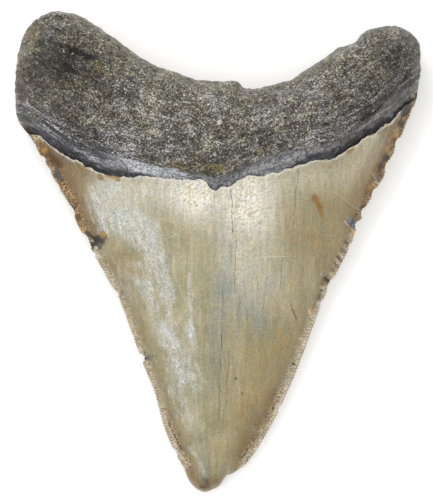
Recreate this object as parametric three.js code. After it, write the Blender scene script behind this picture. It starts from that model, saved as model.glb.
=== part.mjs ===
// A fossil megalodon tooth, lying on its labial face with the lingual face up.
// Units are millimetres. X runs across the tooth, Y from the tip to the root, and Z up.
// The origin is under the middle of the tooth, on the surface that it lies on.
//
// The tooth is one closed surface. A lingual and a labial sheet meet along the outline.
// Each sheet is a stack of patches between guide lines: the tip, the enamel line, the root
// line and the top of the root. So the enamel's edge and the root's lip lie on mesh rows.

import * as THREE from 'three';

// Driving dimensions of the body

const CROWN_THICKNESS = 24;
const TIP_THICKNESS = 3.6;
const ROOT_THICKNESS = 26.5;
const LOBE_THICKNESS = 17.8;
const CROWN_EDGE_HEIGHT = 8.3;
const TIP_EDGE_HEIGHT = 1.7;
const ROOT_EDGE_HEIGHT = 13;
const LOBE_EDGE_HEIGHT = 9.2;
const LINGUAL_RIM_RADIUS = 11;
const LABIAL_RIM_RADIUS = 8;
const TIP_RIM_RADIUS = 3;
const HALF_ROOT_WIDTH = 50;
const TIP_Y = -59.9;
const CROWN_BASE_Y = 34;

// The labial face is worn flat: what would lie this far below the table is cut off at it
const WORN_DEPTH = 0.7;
const TIP_LIFT = 0.8;
const NOTCH_HOLLOW = { x: 0, y: 38, halfWidth: 17, halfLength: 13, depth: 3 };

// Ledges, serrations and the thinnest place

const BAND_RECESS_MIDDLE = 0.45;
const BAND_RECESS_SIDES = 1;
const ROOT_LIP = 0.5;
const LABIAL_ENAMEL_LIP = 0.5;
const SERRATION_DEPTH = 0.38;
const SERRATED_RIM = 1.4;
const LEAST_THICKNESS = 0.8;

// How finely the surface is divided

const CROWN_ROWS = 20;
const BAND_ROWS = 4;
const ROOT_ROWS = 24;
const COLUMNS = 42;
const SERRATIONS_PER_ROW = 6;
const OUTLINE_SAMPLES = 160;

// Corners of the outline: the ends of the cutting edges

const TIP_LEFT = [-8.2, -53.7];
const TIP_RIGHT = [5.9, -54.3];
const ENAMEL_LEFT = [-47.5, 29.2];
const ENAMEL_RIGHT = [49.6, 38.3];

// Outline and guide lines seen from above, as points that a smooth curve passes through

const LEFT_CUTTING_EDGE = [
  TIP_LEFT, [-10.3, -49.9], [-12.7, -44.7], [-14.4, -39.8], [-15.7, -35.3], [-18.1, -29.7],
  [-20.1, -24.3], [-22.4, -17.7], [-24.8, -11.3], [-27.9, -6.1], [-30.9, -0.6], [-34.6, 5.2],
  [-36.9, 10.6], [-39.8, 16], [-42.6, 21.3], [-45.1, 25.3], ENAMEL_LEFT,
];
const RIGHT_CUTTING_EDGE = [
  TIP_RIGHT, [9, -49.9], [13.6, -41.9], [17.5, -33.5], [20.5, -26.8], [23.4, -19.1],
  [26, -12.5], [28.8, -6.4], [32.8, 1.2], [35.4, 7.7], [37.9, 12.5], [40.8, 18],
  [43.2, 23.5], [45.5, 28.7], [48.2, 34.5], ENAMEL_RIGHT,
];
const TIP_EDGE = [
  TIP_LEFT, [-7.1, -56.6], [-5.4, -58.7], [-3.3, -59.9], [-1.5, -59.4], [0.4, -58.6],
  [2, -56.2], [3.8, -55.5], TIP_RIGHT,
];
const ROOT_EDGE = [
  ENAMEL_LEFT, [-49.8, 32.6], [-50.6, 37.7], [-50.5, 44.7], [-49.2, 52.4], [-46.4, 57],
  [-42.2, 59.7], [-36.9, 59.5], [-32, 57.2], [-25, 52.4], [-18, 47.4], [-12.4, 45.1],
  [-6.1, 42.8], [-0.5, 42.3], [4.5, 42.4], [6.3, 40.7], [9.8, 40.6], [17.9, 42.7],
  [22.9, 45.9], [29.3, 50.2], [33.6, 51.9], [37.1, 55], [42.1, 56.2], [47.1, 55.3],
  [50.1, 51.9], [50.6, 45.9], [50.2, 42], ENAMEL_RIGHT,
];
const ENAMEL_LINE = [
  ENAMEL_LEFT, [-42.9, 27.2], [-36.2, 23.7], [-29.9, 20.2], [-27.7, 18.8], [-24.7, 18.4],
  [-17.7, 18.4], [-12.4, 17.8], [-4, 17.6], [-2.4, 16.2], [-0.7, 14.8], [1, 15.6],
  [3.5, 16.2], [5.5, 17.7], [7.8, 18.7], [11, 18.5], [18, 20.5], [24.3, 22.4],
  [27.5, 22.8], [30.7, 24.2], [33.6, 26.3], [39.3, 29.7], [44.6, 33.8], [46.8, 36.3],
  ENAMEL_RIGHT,
];
const ROOT_LINE_LEFT_END = 0.032;
const ROOT_LINE = [
  [-44.5, 30.6], [-39.5, 27.9], [-34.5, 25.5], [-27, 24.2], [-21.9, 22.2], [-15.5, 21.2],
  [-9, 20], [-2.2, 18.1], [3.1, 18.9], [8.5, 21.4], [15, 23.6], [20.5, 25.4], [25, 26],
  [30.5, 28], [36, 31.5], [40.5, 35.7], [44.5, 39.3],
];
const ROOT_LINE_RIGHT_END = 0.976;
const LABIAL_ENAMEL_LINE = [
  ENAMEL_LEFT, [-40, 30.2], [-30, 29.4], [-18, 28], [0, 27], [15, 29], [30, 32.4],
  [42, 36.2], ENAMEL_RIGHT,
];

// Where the root's outline turns from its sides to its top, as shares of its length
const LEFT_LOBE_TURN = 0.175;
const RIGHT_LOBE_TURN = 0.885;

// Damage on the cutting edges: notches in the outline, by side and place along Y
const NICKS = [
  { side: 'left', y: 2.6, halfLength: 2, depth: 0.7 },
  { side: 'left', y: -26.8, halfLength: 1.2, depth: 0.9 },
  { side: 'left', y: -50.5, halfLength: 1.3, depth: 0.5 },
  { side: 'right', y: 7.4, halfLength: 1.4, depth: 0.6 },
  { side: 'right', y: -8.2, halfLength: 2, depth: 0.6 },
  { side: 'right', y: -39.4, halfLength: 1, depth: 0.4 },
];

// Hollows in the lingual face: flakes off the crown's edges, and pits in the root
const FLAKES = [
  { x: -29.9, y: 2.8, radius: 2.6, depth: 1.1 },
  { x: -18.2, y: -26.8, radius: 1.9, depth: 0.9 },
  { x: 33.5, y: 6.8, radius: 2, depth: 0.7 },
  { x: 26.6, y: -8.4, radius: 2.9, depth: 1.2 },
  { x: 24.4, y: -14.6, radius: 2.3, depth: 0.7 },
  { x: 4, y: -53.8, radius: 3, depth: 0.8 },
  { x: -2.6, y: -58.6, radius: 2.2, depth: 0.7 },
];
const PITS = [
  { x: -36.5, y: 46.3, radius: 5.5, depth: 1.1 },
  { x: -33.2, y: 33.6, radius: 2.6, depth: 0.7 },
  { x: -17, y: 30.6, radius: 2.6, depth: 0.7 },
  { x: -9.5, y: 39, radius: 2.8, depth: 0.7 },
  { x: 0.5, y: 28.2, radius: 2.2, depth: 0.9 },
  { x: 17.8, y: 29.4, radius: 3, depth: 0.7 },
  { x: 24, y: 41, radius: 2.8, depth: 0.6 },
  { x: 43, y: 47.8, radius: 5, depth: 1 },
];

// Lumps of the root's crust: each octave's size across a lump and its height
const CRUST_OCTAVES = [
  { size: 9, height: 1.3 },
  { size: 4.6, height: 0.9 },
];
const LABIAL_CRUST_SHIFT = 137;

// Colours of the three surfaces
const ROOT_COLOUR = new THREE.Color('#4c463f');
const BAND_COLOUR = new THREE.Color('#55535a');
const ENAMEL_COLOUR = new THREE.Color('#a39b82');

// Small helpers

const mix = (a, b, share) => a + (b - a) * share;
const clamp = (value, low, high) => Math.min(Math.max(value, low), high);
const smooth = (low, high, value) => THREE.MathUtils.smoothstep(value, low, high);

// A quarter circle's height at this distance in from the rim, from 0 at the rim to 1
const rounded = (distance, radius) => Math.sqrt(1 - (1 - clamp(distance / radius, 0, 1)) ** 2);

// Even steps from 0 to 1, drawn closer together at both ends
const closerAtEnds = (step) => step - (0.4 * Math.sin(2 * Math.PI * step)) / (2 * Math.PI);

const curveThrough = (points) => new THREE.SplineCurve(points.map(([x, y]) => new THREE.Vector2(x, y)));

// Height of smooth lumps on a square lattice, between -0.5 and 0.5
function lump(x, y) {
  const corner = (i, j) => {
    const wave = Math.sin(i * 127.1 + j * 311.7) * 43758.5453;
    return wave - Math.floor(wave) - 0.5;
  };
  const i = Math.floor(x);
  const j = Math.floor(y);
  const a = smooth(0, 1, x - i);
  const b = smooth(0, 1, y - j);
  const low = mix(corner(i, j), corner(i + 1, j), a);
  const high = mix(corner(i, j + 1), corner(i + 1, j + 1), a);
  return mix(low, high, b);
}

const crust = (x, y) =>
  CRUST_OCTAVES.reduce((sum, { size, height }) => sum + height * lump(x / size, y / size), 0);

// Depth at x, y of round hollows with soft rims
function hollows(list, x, y) {
  let depth = 0;
  for (const hollow of list) {
    const away = Math.hypot(x - hollow.x, y - hollow.y) / hollow.radius;
    if (away < 1) depth += hollow.depth * (1 - away * away) ** 2;
  }
  return depth;
}

// Outline and guide curves

const leftCuttingEdge = curveThrough(LEFT_CUTTING_EDGE);
const rightCuttingEdge = curveThrough(RIGHT_CUTTING_EDGE);
const tipEdge = curveThrough(TIP_EDGE);
const rootEdge = curveThrough(ROOT_EDGE);
const enamelLine = curveThrough(ENAMEL_LINE);
const labialEnamelLine = curveThrough(LABIAL_ENAMEL_LINE);
const rootLine = curveThrough([
  rootEdge.getPointAt(ROOT_LINE_LEFT_END).toArray(),
  ...ROOT_LINE,
  rootEdge.getPointAt(ROOT_LINE_RIGHT_END).toArray(),
]);

const rootEdgePoints = rootEdge.getSpacedPoints(OUTLINE_SAMPLES);

// The part of the root's outline between two shares of its length, as a curve from 0 to 1
const rootStretch = (from, to) => (share) => rootEdge.getPointAt(mix(from, to, share));
const rootTop = rootStretch(LEFT_LOBE_TURN, RIGHT_LOBE_TURN);

function distanceToRootEdge(x, y) {
  let nearest = Infinity;
  for (let k = 0; k < OUTLINE_SAMPLES; k += 1) {
    const a = rootEdgePoints[k];
    const b = rootEdgePoints[k + 1];
    const alongX = b.x - a.x;
    const alongY = b.y - a.y;
    const share = clamp(
      ((x - a.x) * alongX + (y - a.y) * alongY) / (alongX * alongX + alongY * alongY), 0, 1);
    nearest = Math.min(nearest, Math.hypot(x - a.x - share * alongX, y - a.y - share * alongY));
  }
  return nearest;
}

// Heights of the outline and of the two faces. A site holds a point's plan position, its
// place across the tooth (across, -1 to 1), its distance above the enamel line (aboveEnamel)
// and its distances from the rims.

// How far along the crown a point is, from 0 at the tip to 1 at the height of its corners
const crownShare = (site) => clamp((site.y - TIP_Y) / (CROWN_BASE_Y - TIP_Y), 0, 1);

const rootShare = (site) => smooth(-4, 14, site.aboveEnamel);

function outlineHeight(site) {
  const crownEdge = mix(TIP_EDGE_HEIGHT, CROWN_EDGE_HEIGHT, crownShare(site) ** 1.2);
  const towardsLobe = clamp(Math.abs(site.x) / HALF_ROOT_WIDTH, 0, 1);
  const rootEdgeHeight = mix(LOBE_EDGE_HEIGHT, ROOT_EDGE_HEIGHT, Math.cos((Math.PI / 2) * towardsLobe) ** 2);
  return mix(crownEdge, rootEdgeHeight, rootShare(site));
}

function lingualHeight(site) {
  const rim = outlineHeight(site);
  const crownMiddle = mix(TIP_THICKNESS, CROWN_THICKNESS, crownShare(site) ** 0.85);
  const arch = (1 - site.across ** 2) ** 1.15 * rounded(site.fromTip, TIP_RIM_RADIUS);
  const crown = mix(rim, crownMiddle, arch);

  const towardsLobe = clamp(Math.abs(site.x) / HALF_ROOT_WIDTH, 0, 1);
  const rootMiddle = mix(ROOT_THICKNESS, LOBE_THICKNESS, towardsLobe ** 1.6);
  const inside = rounded(site.fromRootEdge, LINGUAL_RIM_RADIUS);
  const root = mix(rim, rootMiddle, inside);

  const crustShare = smooth(0, 5, site.aboveRootLine) * inside;
  const relief = crustShare * (crust(site.x, site.y) - hollows(PITS, site.x, site.y));
  const lip = ROOT_LIP * smooth(-0.1, 0.6, site.aboveRootLine) * (1 - smooth(1, 6, site.aboveRootLine)) * inside;
  const flake = hollows(FLAKES, site.x, site.y);
  return mix(crown, root, rootShare(site)) + relief + lip - bandRecess(site) - flake;
}

// The band between enamel and root lies in a shallow groove, deepest along the enamel
function bandRecess(site) {
  if (site.band <= 0 || site.band >= 1) return 0;
  const sides = smooth(12, 26, Math.abs(site.x)) * (1 - smooth(43, 50, Math.abs(site.x)));
  return mix(BAND_RECESS_MIDDLE, BAND_RECESS_SIDES, sides) * (1 - 0.55 * site.band);
}

function labialHeight(site) {
  const rim = outlineHeight(site);
  const crownMiddle = mix(TIP_LIFT, -WORN_DEPTH, smooth(0, 0.3, crownShare(site)));
  const arch = (1 - Math.abs(site.across) ** 2.4) * rounded(site.fromTip, TIP_RIM_RADIUS);
  const crown = mix(rim, crownMiddle, arch);

  const notch = NOTCH_HOLLOW;
  const hollow = notch.depth * Math.exp(
    -(((site.x - notch.x) / notch.halfWidth) ** 2) - ((site.y - notch.y) / notch.halfLength) ** 2);
  const inside = rounded(site.fromRootEdge, LABIAL_RIM_RADIUS);
  const root = mix(rim, hollow - WORN_DEPTH, inside);

  const crustShare = smooth(0, 4, site.aboveEnamel) * inside;
  const relief = crustShare * crust(site.x + LABIAL_CRUST_SHIFT, site.y);
  const step = LABIAL_ENAMEL_LIP * smooth(0, 0.8, site.aboveEnamel) * inside;
  return Math.max(mix(crown, root, rootShare(site)) + relief + step, 0);
}

// Rows of the two sides' outlines, from the tip to where the root's top begins

const ROWS = CROWN_ROWS + BAND_ROWS + ROOT_ROWS;
const BAND_STEPS = [0.1, 0.5, 0.9, 1];

function sideRows(cuttingEdge, bandStretch, lobeStretch) {
  const rows = [];
  for (let j = 0; j <= CROWN_ROWS; j += 1) rows.push(cuttingEdge.getPointAt(j / CROWN_ROWS));
  for (const step of BAND_STEPS) rows.push(bandStretch(step));
  for (let j = 1; j <= ROOT_ROWS; j += 1) rows.push(lobeStretch(closerAtEnds(j / ROOT_ROWS)));
  return rows;
}

const leftRows = sideRows(
  leftCuttingEdge, rootStretch(0, ROOT_LINE_LEFT_END), rootStretch(ROOT_LINE_LEFT_END, LEFT_LOBE_TURN));
const rightRows = sideRows(
  rightCuttingEdge, rootStretch(1, ROOT_LINE_RIGHT_END), rootStretch(ROOT_LINE_RIGHT_END, RIGHT_LOBE_TURN));

// A point inside four boundaries: the two blends across them less the blend of the corners
function insidePatch(bottom, top, left, right, u, v, corners) {
  const [bottomLeft, bottomRight, topLeft, topRight] = corners;
  const point = (axis) =>
    mix(bottom[axis], top[axis], v) + mix(left[axis], right[axis], u)
    - mix(mix(bottomLeft[axis], bottomRight[axis], u), mix(topLeft[axis], topRight[axis], u), v);
  return new THREE.Vector2(point('x'), point('y'));
}

// The patches of each sheet: its first and last rows, and the guides there
const ENAMEL_ROW = CROWN_ROWS;
const ROOT_ROW = CROWN_ROWS + BAND_ROWS;
const along = (curve) => (u) => curve.getPointAt(u);
const LINGUAL_PATCHES = [
  { first: 0, last: ENAMEL_ROW, bottom: along(tipEdge), top: along(enamelLine) },
  { first: ENAMEL_ROW, last: ROOT_ROW, bottom: along(enamelLine), top: along(rootLine) },
  { first: ROOT_ROW, last: ROWS, bottom: along(rootLine), top: rootTop },
];
const LABIAL_PATCHES = [
  { first: 0, last: ENAMEL_ROW, bottom: along(tipEdge), top: along(labialEnamelLine) },
  { first: ENAMEL_ROW, last: ROWS, bottom: along(labialEnamelLine), top: rootTop },
];

// The share of a patch's height at a row, from the lengths of its two sides up to there
function shareOfPatch({ first, last }, row) {
  const length = (rows, to) => {
    let sum = 0;
    for (let j = first; j < to; j += 1) sum += rows[j].distanceTo(rows[j + 1]);
    return sum;
  };
  return (length(leftRows, row) + length(rightRows, row)) / (length(leftRows, last) + length(rightRows, last));
}

// Columns: the first and the last are the outline, and their neighbours run one rim inside it
function columnShare(column, row) {
  if (column === 0) return 0;
  if (column === COLUMNS) return 1;
  const rim = SERRATED_RIM / leftRows[row].distanceTo(rightRows[row]);
  return mix(rim, 1 - rim, closerAtEnds((column - 1) / (COLUMNS - 2)));
}

function siteAt(patches, guide, row, column) {
  const patch = patches.find(({ last }) => row <= last);
  const u = columnShare(column, row);
  const v = shareOfPatch(patch, row);
  const corners = [leftRows[patch.first], rightRows[patch.first], leftRows[patch.last], rightRows[patch.last]];
  const point = insidePatch(patch.bottom(u), patch.top(u), leftRows[row], rightRows[row], u, v, corners);
  const aboveEnamel = point.distanceTo(guide.getPointAt(u)) * (row < ENAMEL_ROW ? -1 : 1);
  return {
    x: point.x,
    y: point.y,
    across: 2 * u - 1,
    aboveEnamel,
    aboveRootLine: point.distanceTo(rootLine.getPointAt(u)) * (row < ROOT_ROW ? -1 : 1),
    band: (row - ENAMEL_ROW) / BAND_ROWS,
    fromTip: point.distanceTo(tipEdge.getPointAt(u)),
    fromRootEdge: distanceToRootEdge(point.x, point.y),
  };
}

// Mesh

const positions = [];
const colours = [];
const triangles = [];

function addVertex(x, y, z, colour) {
  positions.push(x, y, z);
  colours.push(colour.r, colour.g, colour.b);
  return positions.length / 3 - 1;
}

const addTriangle = (a, b, c, facesUp) => triangles.push(...(facesUp ? [a, b, c] : [a, c, b]));

function surfaceColour(row, labial) {
  if (row <= ENAMEL_ROW) return ENAMEL_COLOUR;
  return row < ROOT_ROW && !labial ? BAND_COLOUR : ROOT_COLOUR;
}

// How far the outline stands in from its smooth curve: serrations, and nicks
function outlineLoss(side, y, step) {
  let loss = step % 2 === 0 ? SERRATION_DEPTH : 0;
  for (const nick of NICKS) {
    const away = Math.abs(y - nick.y) / nick.halfLength;
    if (nick.side === side && away < 1) loss += nick.depth * (1 - away * away);
  }
  return loss;
}

// The outline's vertices on one side: for each row, those from it to the next row
function outlineOf(side, cuttingEdge, rows, tip, top) {
  const steps = 2 * SERRATIONS_PER_ROW;
  const inward = side === 'left' ? -1 : 1;
  const vertexAt = ({ x, y }, aboveEnamel, row) =>
    addVertex(x, y, outlineHeight({ x, y, aboveEnamel }), surfaceColour(row, false));
  const corner = cuttingEdge.getPointAt(1);
  const runs = [];
  let previous = tip;
  for (let j = 0; j < ROWS; j += 1) {
    const run = [previous];
    const pieces = j < CROWN_ROWS ? steps : 1;
    for (let k = 1; k <= pieces; k += 1) {
      const share = Math.min((j + k / pieces) / CROWN_ROWS, 1);
      const point = j < CROWN_ROWS ? cuttingEdge.getPointAt(share) : rows[j + 1].clone();
      const aboveEnamel = point.distanceTo(corner) * (j < CROWN_ROWS ? -1 : 1);
      if (share < 1) {
        const tangent = cuttingEdge.getTangentAt(share);
        const loss = outlineLoss(side, point.y, k);
        point.x += inward * -tangent.y * loss;
        point.y += inward * tangent.x * loss;
      }
      run.push(j === ROWS - 1 ? top : vertexAt(point, aboveEnamel, j));
    }
    runs.push(run);
    previous = run[run.length - 1];
  }
  return runs;
}

// A row of vertices that both sheets share: the tip's edge or the root's top edge
function sharedRow(row) {
  return Array.from({ length: COLUMNS + 1 }, (_, column) => {
    const site = siteAt(LINGUAL_PATCHES, enamelLine, row, column);
    return addVertex(site.x, site.y, outlineHeight(site), surfaceColour(row, false));
  });
}

const tipRow = sharedRow(0);
const topRow = sharedRow(ROWS);
const leftOutline = outlineOf('left', leftCuttingEdge, leftRows, tipRow[0], topRow[0]);
const rightOutline = outlineOf('right', rightCuttingEdge, rightRows, tipRow[COLUMNS], topRow[COLUMNS]);

// Fills the rim between an outline's run of vertices and the next column's two
function addRim(run, low, high, facesUp) {
  const half = Math.floor((run.length - 1) / 2);
  for (let k = 0; k < run.length - 1; k += 1) {
    if (k === half) addTriangle(low, high, run[k], facesUp);
    addTriangle(run[k], k < half ? low : high, run[k + 1], facesUp);
  }
}

function addSheet(labial) {
  const patches = labial ? LABIAL_PATCHES : LINGUAL_PATCHES;
  const guide = labial ? labialEnamelLine : enamelLine;
  const height = (site) => labial
    ? labialHeight(site)
    : Math.max(lingualHeight(site), labialHeight(site) + LEAST_THICKNESS);
  const grid = [tipRow];
  for (let j = 1; j < ROWS; j += 1) {
    grid.push([]);
    for (let i = 1; i < COLUMNS; i += 1) {
      const site = siteAt(patches, guide, j, i);
      grid[j][i] = addVertex(site.x, site.y, height(site), surfaceColour(j, labial));
    }
  }
  grid.push(topRow);
  for (let j = 0; j < ROWS; j += 1) {
    addRim(leftOutline[j], grid[j][1], grid[j + 1][1], !labial);
    addRim(rightOutline[j], grid[j][COLUMNS - 1], grid[j + 1][COLUMNS - 1], labial);
    for (let i = 1; i < COLUMNS - 1; i += 1) {
      addTriangle(grid[j][i], grid[j][i + 1], grid[j + 1][i + 1], !labial);
      addTriangle(grid[j][i], grid[j + 1][i + 1], grid[j + 1][i], !labial);
    }
  }
}

addSheet(false);
addSheet(true);

// Puts the middle of the outline over the origin and the worn face on the table
function centred(geometry) {
  geometry.computeBoundingBox();
  const middle = geometry.boundingBox.getCenter(new THREE.Vector3());
  geometry.translate(-middle.x, -middle.y, -geometry.boundingBox.min.z);
  return geometry;
}

const geometry = new THREE.BufferGeometry();
geometry.setAttribute('position', new THREE.Float32BufferAttribute(positions, 3));
geometry.setAttribute('color', new THREE.Float32BufferAttribute(colours, 3));
geometry.setIndex(triangles);
centred(geometry).computeVertexNormals();

const tooth = new THREE.Mesh(
  geometry,
  new THREE.MeshStandardMaterial({ vertexColors: true, roughness: 0.45, metalness: 0 }),
);
tooth.name = 'tooth';

const part = new THREE.Group();
part.add(tooth);

export default part;
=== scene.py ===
"""A fossil megalodon tooth lying on its labial face, seen from straight above.

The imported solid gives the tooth's place and size. This script makes its fine surface: the
serrated cutting edges, the stained enamel, the smooth dark band under the root and the porous
root. Lengths are in millimetres until the mesh is written, which is in metres.
"""

import logging
from collections.abc import Callable, Mapping, Sequence
from dataclasses import dataclass
from enum import Enum, IntEnum
from functools import cached_property

import bpy
import numpy as np
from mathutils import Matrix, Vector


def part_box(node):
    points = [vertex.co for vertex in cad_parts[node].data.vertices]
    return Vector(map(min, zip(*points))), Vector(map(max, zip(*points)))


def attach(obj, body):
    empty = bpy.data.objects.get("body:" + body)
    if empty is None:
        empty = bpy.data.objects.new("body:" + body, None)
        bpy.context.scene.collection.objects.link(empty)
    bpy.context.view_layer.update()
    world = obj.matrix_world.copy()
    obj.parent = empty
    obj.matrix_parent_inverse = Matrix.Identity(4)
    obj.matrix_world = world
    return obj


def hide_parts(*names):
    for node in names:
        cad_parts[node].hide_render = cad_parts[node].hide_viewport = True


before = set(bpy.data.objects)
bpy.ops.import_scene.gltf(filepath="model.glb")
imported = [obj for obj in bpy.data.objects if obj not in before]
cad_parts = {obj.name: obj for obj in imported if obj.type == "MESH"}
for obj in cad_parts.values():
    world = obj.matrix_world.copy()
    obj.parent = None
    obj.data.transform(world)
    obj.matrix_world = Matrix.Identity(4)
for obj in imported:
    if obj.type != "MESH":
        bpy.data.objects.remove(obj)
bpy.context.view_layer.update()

Array = np.ndarray
Point = tuple[float, float]
Colour = tuple[float, float, float, float]
Socket = bpy.types.NodeSocket
Value = Socket | float | str | Sequence[float]

LOG = logging.getLogger("tooth")
MILLIMETRE = 0.001

# Corners of the outline: the ends of the cutting edges

TIP_LEFT = (-8.6, -53.8)
TIP_RIGHT = (5.9, -54.3)
ENAMEL_LEFT = (-47.5, 29.2)
ENAMEL_RIGHT = (49.6, 38.3)

# Outline and guide lines seen from above, as points that a smooth curve passes through

LEFT_CUTTING_EDGE = (
    TIP_LEFT, (-11, -49.9), (-13.2, -44.7), (-14.6, -39.8), (-15.8, -35.3), (-18.1, -29.7),
    (-20.1, -24.3), (-22.4, -17.7), (-24.8, -11.3), (-27.9, -6.1), (-30.9, -0.6), (-34.6, 5.2),
    (-36.9, 10.6), (-39.8, 16), (-42.6, 21.3), (-45.1, 25.3), ENAMEL_LEFT,
)
RIGHT_CUTTING_EDGE = (
    TIP_RIGHT, (9.2, -50.2), (14, -42.1), (17.8, -33.7), (20.6, -26.8), (23.4, -19.1),
    (26, -12.5), (28.8, -6.4), (32.8, 1.2), (35.4, 7.7), (37.9, 12.5), (40.8, 18),
    (43.2, 23.5), (45.5, 28.7), (48.2, 34.5), ENAMEL_RIGHT,
)
TIP_EDGE = (
    TIP_LEFT, (-7.7, -57), (-6, -59.3), (-3.6, -60.6), (-1.5, -60), (0.4, -58.9),
    (2, -56.6), (3.8, -55.8), TIP_RIGHT,
)
ROOT_EDGE = (
    ENAMEL_LEFT, (-49.8, 32.6), (-50.6, 37.7), (-50.5, 44.7), (-49.2, 52.4), (-46.4, 57),
    (-42.2, 59.7), (-36.9, 59.5), (-32, 57.2), (-25, 52.4), (-18, 47.4), (-12.4, 45.1),
    (-6.1, 42.8), (-0.5, 42.3), (4.5, 42.4), (6.3, 40.7), (9.8, 40.6), (17.9, 42.7),
    (22.9, 45.9), (29.3, 50.2), (33.6, 51.9), (37.1, 55), (42.1, 56.2), (47.1, 55.3),
    (50.1, 51.9), (50.6, 45.9), (50.2, 42), ENAMEL_RIGHT,
)
ENAMEL_LINE = (
    ENAMEL_LEFT, (-45, 28.8), (-42.7, 26.8), (-40.5, 25.2), (-37.7, 23.4), (-34.5, 22.1),
    (-31.7, 20.5), (-29.9, 19.6), (-27.7, 18.8), (-24.7, 18.4),
    (-17.7, 18.4), (-12.4, 17.8), (-4, 17.6), (-2.4, 16.2), (-0.7, 14.8), (1, 15.6),
    (3.5, 16.2), (5.5, 17.7), (7.8, 18.7), (11, 18.5), (18, 20.5), (24.3, 22.4),
    (27.5, 22.8), (30.7, 24.2), (33.6, 26.3), (39.3, 29.7), (44.6, 33.8), (46.8, 36.3),
    ENAMEL_RIGHT,
)
ROOT_LINE = (
    (-44.5, 30.6), (-39.5, 27.9), (-34.5, 25.5), (-27, 24.2), (-21.9, 22.2), (-15.5, 21.2),
    (-9, 20), (-2.2, 18.1), (3.1, 18.9), (8.5, 21.4), (15, 23.6), (20.5, 25.4),
    (25, 26), (30.5, 28), (36, 31.5), (40.5, 35.7), (44.5, 39.3),
)
LABIAL_ENAMEL_LINE = (
    ENAMEL_LEFT, (-40, 30.2), (-30, 29.4), (-18, 28), (0, 27), (15, 29),
    (30, 32.4), (42, 36.2), ENAMEL_RIGHT,
)

# Shares of the root outline's length: the root line's two ends, and its turns from sides to top

ROOT_LINE_LEFT_END = 0.032
ROOT_LINE_RIGHT_END = 0.976
LEFT_LOBE_TURN = 0.175
RIGHT_LOBE_TURN = 0.885


class Stretch(IntEnum):
    """A stretch of the tooth's length between two guide lines."""

    CROWN = 0
    BAND = 1
    ROOT = 2


class Sheet(IntEnum):
    """The surface that a vertex belongs to: the outline is shared by the two faces."""

    OUTLINE = 0
    LINGUAL = 1
    LABIAL = 2


class Stain(Enum):
    """Named sRGB hex colours of the marks that the seabed and wear left, and of a few painted highlights and
    shades.
    """

    AMBER = "#603a08"
    OCHRE = "#94640e"
    GOLD = "#94742f"
    HONEY = "#c4964a"
    TAN = "#8f7f55"
    CREAM = "#cabd9f"
    PEACH = "#c29a6c"
    CHALK = "#e9e6dc"
    PEARL = "#e8e6f0"
    UMBER = "#463a2a"
    SLATE = "#7a8082"
    ASH = "#77716b"
    BARK = "#4c3e33"
    ROSE = "#837060"
    PEAT = "#2d2620"
    FLAME = "#986e1e"
    SOOT = "#2c2a29"


(
    AMBER, OCHRE, GOLD, HONEY, TAN, CREAM, PEACH, CHALK, PEARL,
    UMBER, SLATE, ASH, BARK, ROSE, PEAT, FLAME, SOOT,
) = Stain


@dataclass(frozen=True)
class Hollow:
    """A round hollow with a soft rim, or a lump where the depth is below zero."""

    x: float
    y: float
    radius: float
    depth: float


@dataclass(frozen=True)
class Nick:
    """A notch that the outline of the crown has lost."""

    on_left: bool
    y: float
    half_length: float
    depth: float


@dataclass(frozen=True)
class Spot:
    """A patch: an ellipse of one colour with a ragged, soft rim; most are stains, a few painted highlights
    and shade.
    """

    x: float
    y: float
    half_width: float
    half_length: float
    stain_and_painted_light: Stain
    strength: float = 0.8
    turn: float = 0.0
    soft: float = 0.5


@dataclass(frozen=True)
class Stroke:
    """A straight stroke: a wash, whose size is its radius, or a thin line, whose size is its width."""

    start_x: float
    start_y: float
    end_x: float
    end_y: float
    size: float
    strength: float = 1.0

    def distance(self, x: Array, y: Array) -> Array:
        """Distance of places from the stroke: to their foot on it, kept between its ends."""
        along_x, along_y = self.end_x - self.start_x, self.end_y - self.start_y
        across_x, across_y = x - self.start_x, y - self.start_y
        share = (across_x * along_x + across_y * along_y) / (along_x**2 + along_y**2)
        share = np.clip(share, 0.0, 1.0)
        return np.hypot(across_x - share * along_x, across_y - share * along_y)


def each(kind: type, *rows: tuple) -> tuple:
    """Makes one thing of a kind from each row of its fields, in the order given."""
    return tuple(kind(*row) for row in rows)


# Every mark stands at its own place on the tooth, in millimetres

NICKS = each(
    Nick,
    (True, 2.6, 2, 0.7), (True, -26.8, 1.2, 0.9), (True, -50.5, 1.3, 0.5), (False, 6.6, 1.2, 0.4),
    (False, -8.2, 2, 0.6), (False, -39.4, 1, 0.4), (False, 27.4, 1.2, 0.4), (False, 21.4, 1.6, 0.5),
    (False, 14.6, 1.2, 0.6), (False, 9.8, 1.2, 0.6), (False, 1.5, 0.8, 0.4), (False, -12.9, 1, 0.4),
    (True, 23.2, 0.8, 0.35), (True, 10.2, 1.6, 0.35), (True, -0.6, 0.6, 0.35), (True, -10.4, 0.8, 0.3),
)
FLAKES = each(
    Hollow,
    (-29.9, 2.8, 2.6, 1.1), (-18.2, -26.8, 1.9, 0.9), (33.5, 6.8, 2, 0.7), (26.6, -8.4, 2.9, 1.2),
    (24.4, -14.6, 2.3, 0.7), (4, -53.8, 3, 0.8), (-2.6, -58.6, 2.2, 0.7),
)
PITS = each(
    Hollow,
    (-36.5, 46.3, 5.5, 1.1), (-33.2, 33.6, 2.6, 0.7), (-17, 30.6, 2.6, 0.7), (-9.5, 39, 2.8, 0.7),
    (0.5, 28.2, 2.2, 0.9), (17.8, 29.4, 3, 0.7), (24, 41, 2.8, 0.6), (43, 47.8, 5, 1),
)

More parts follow.
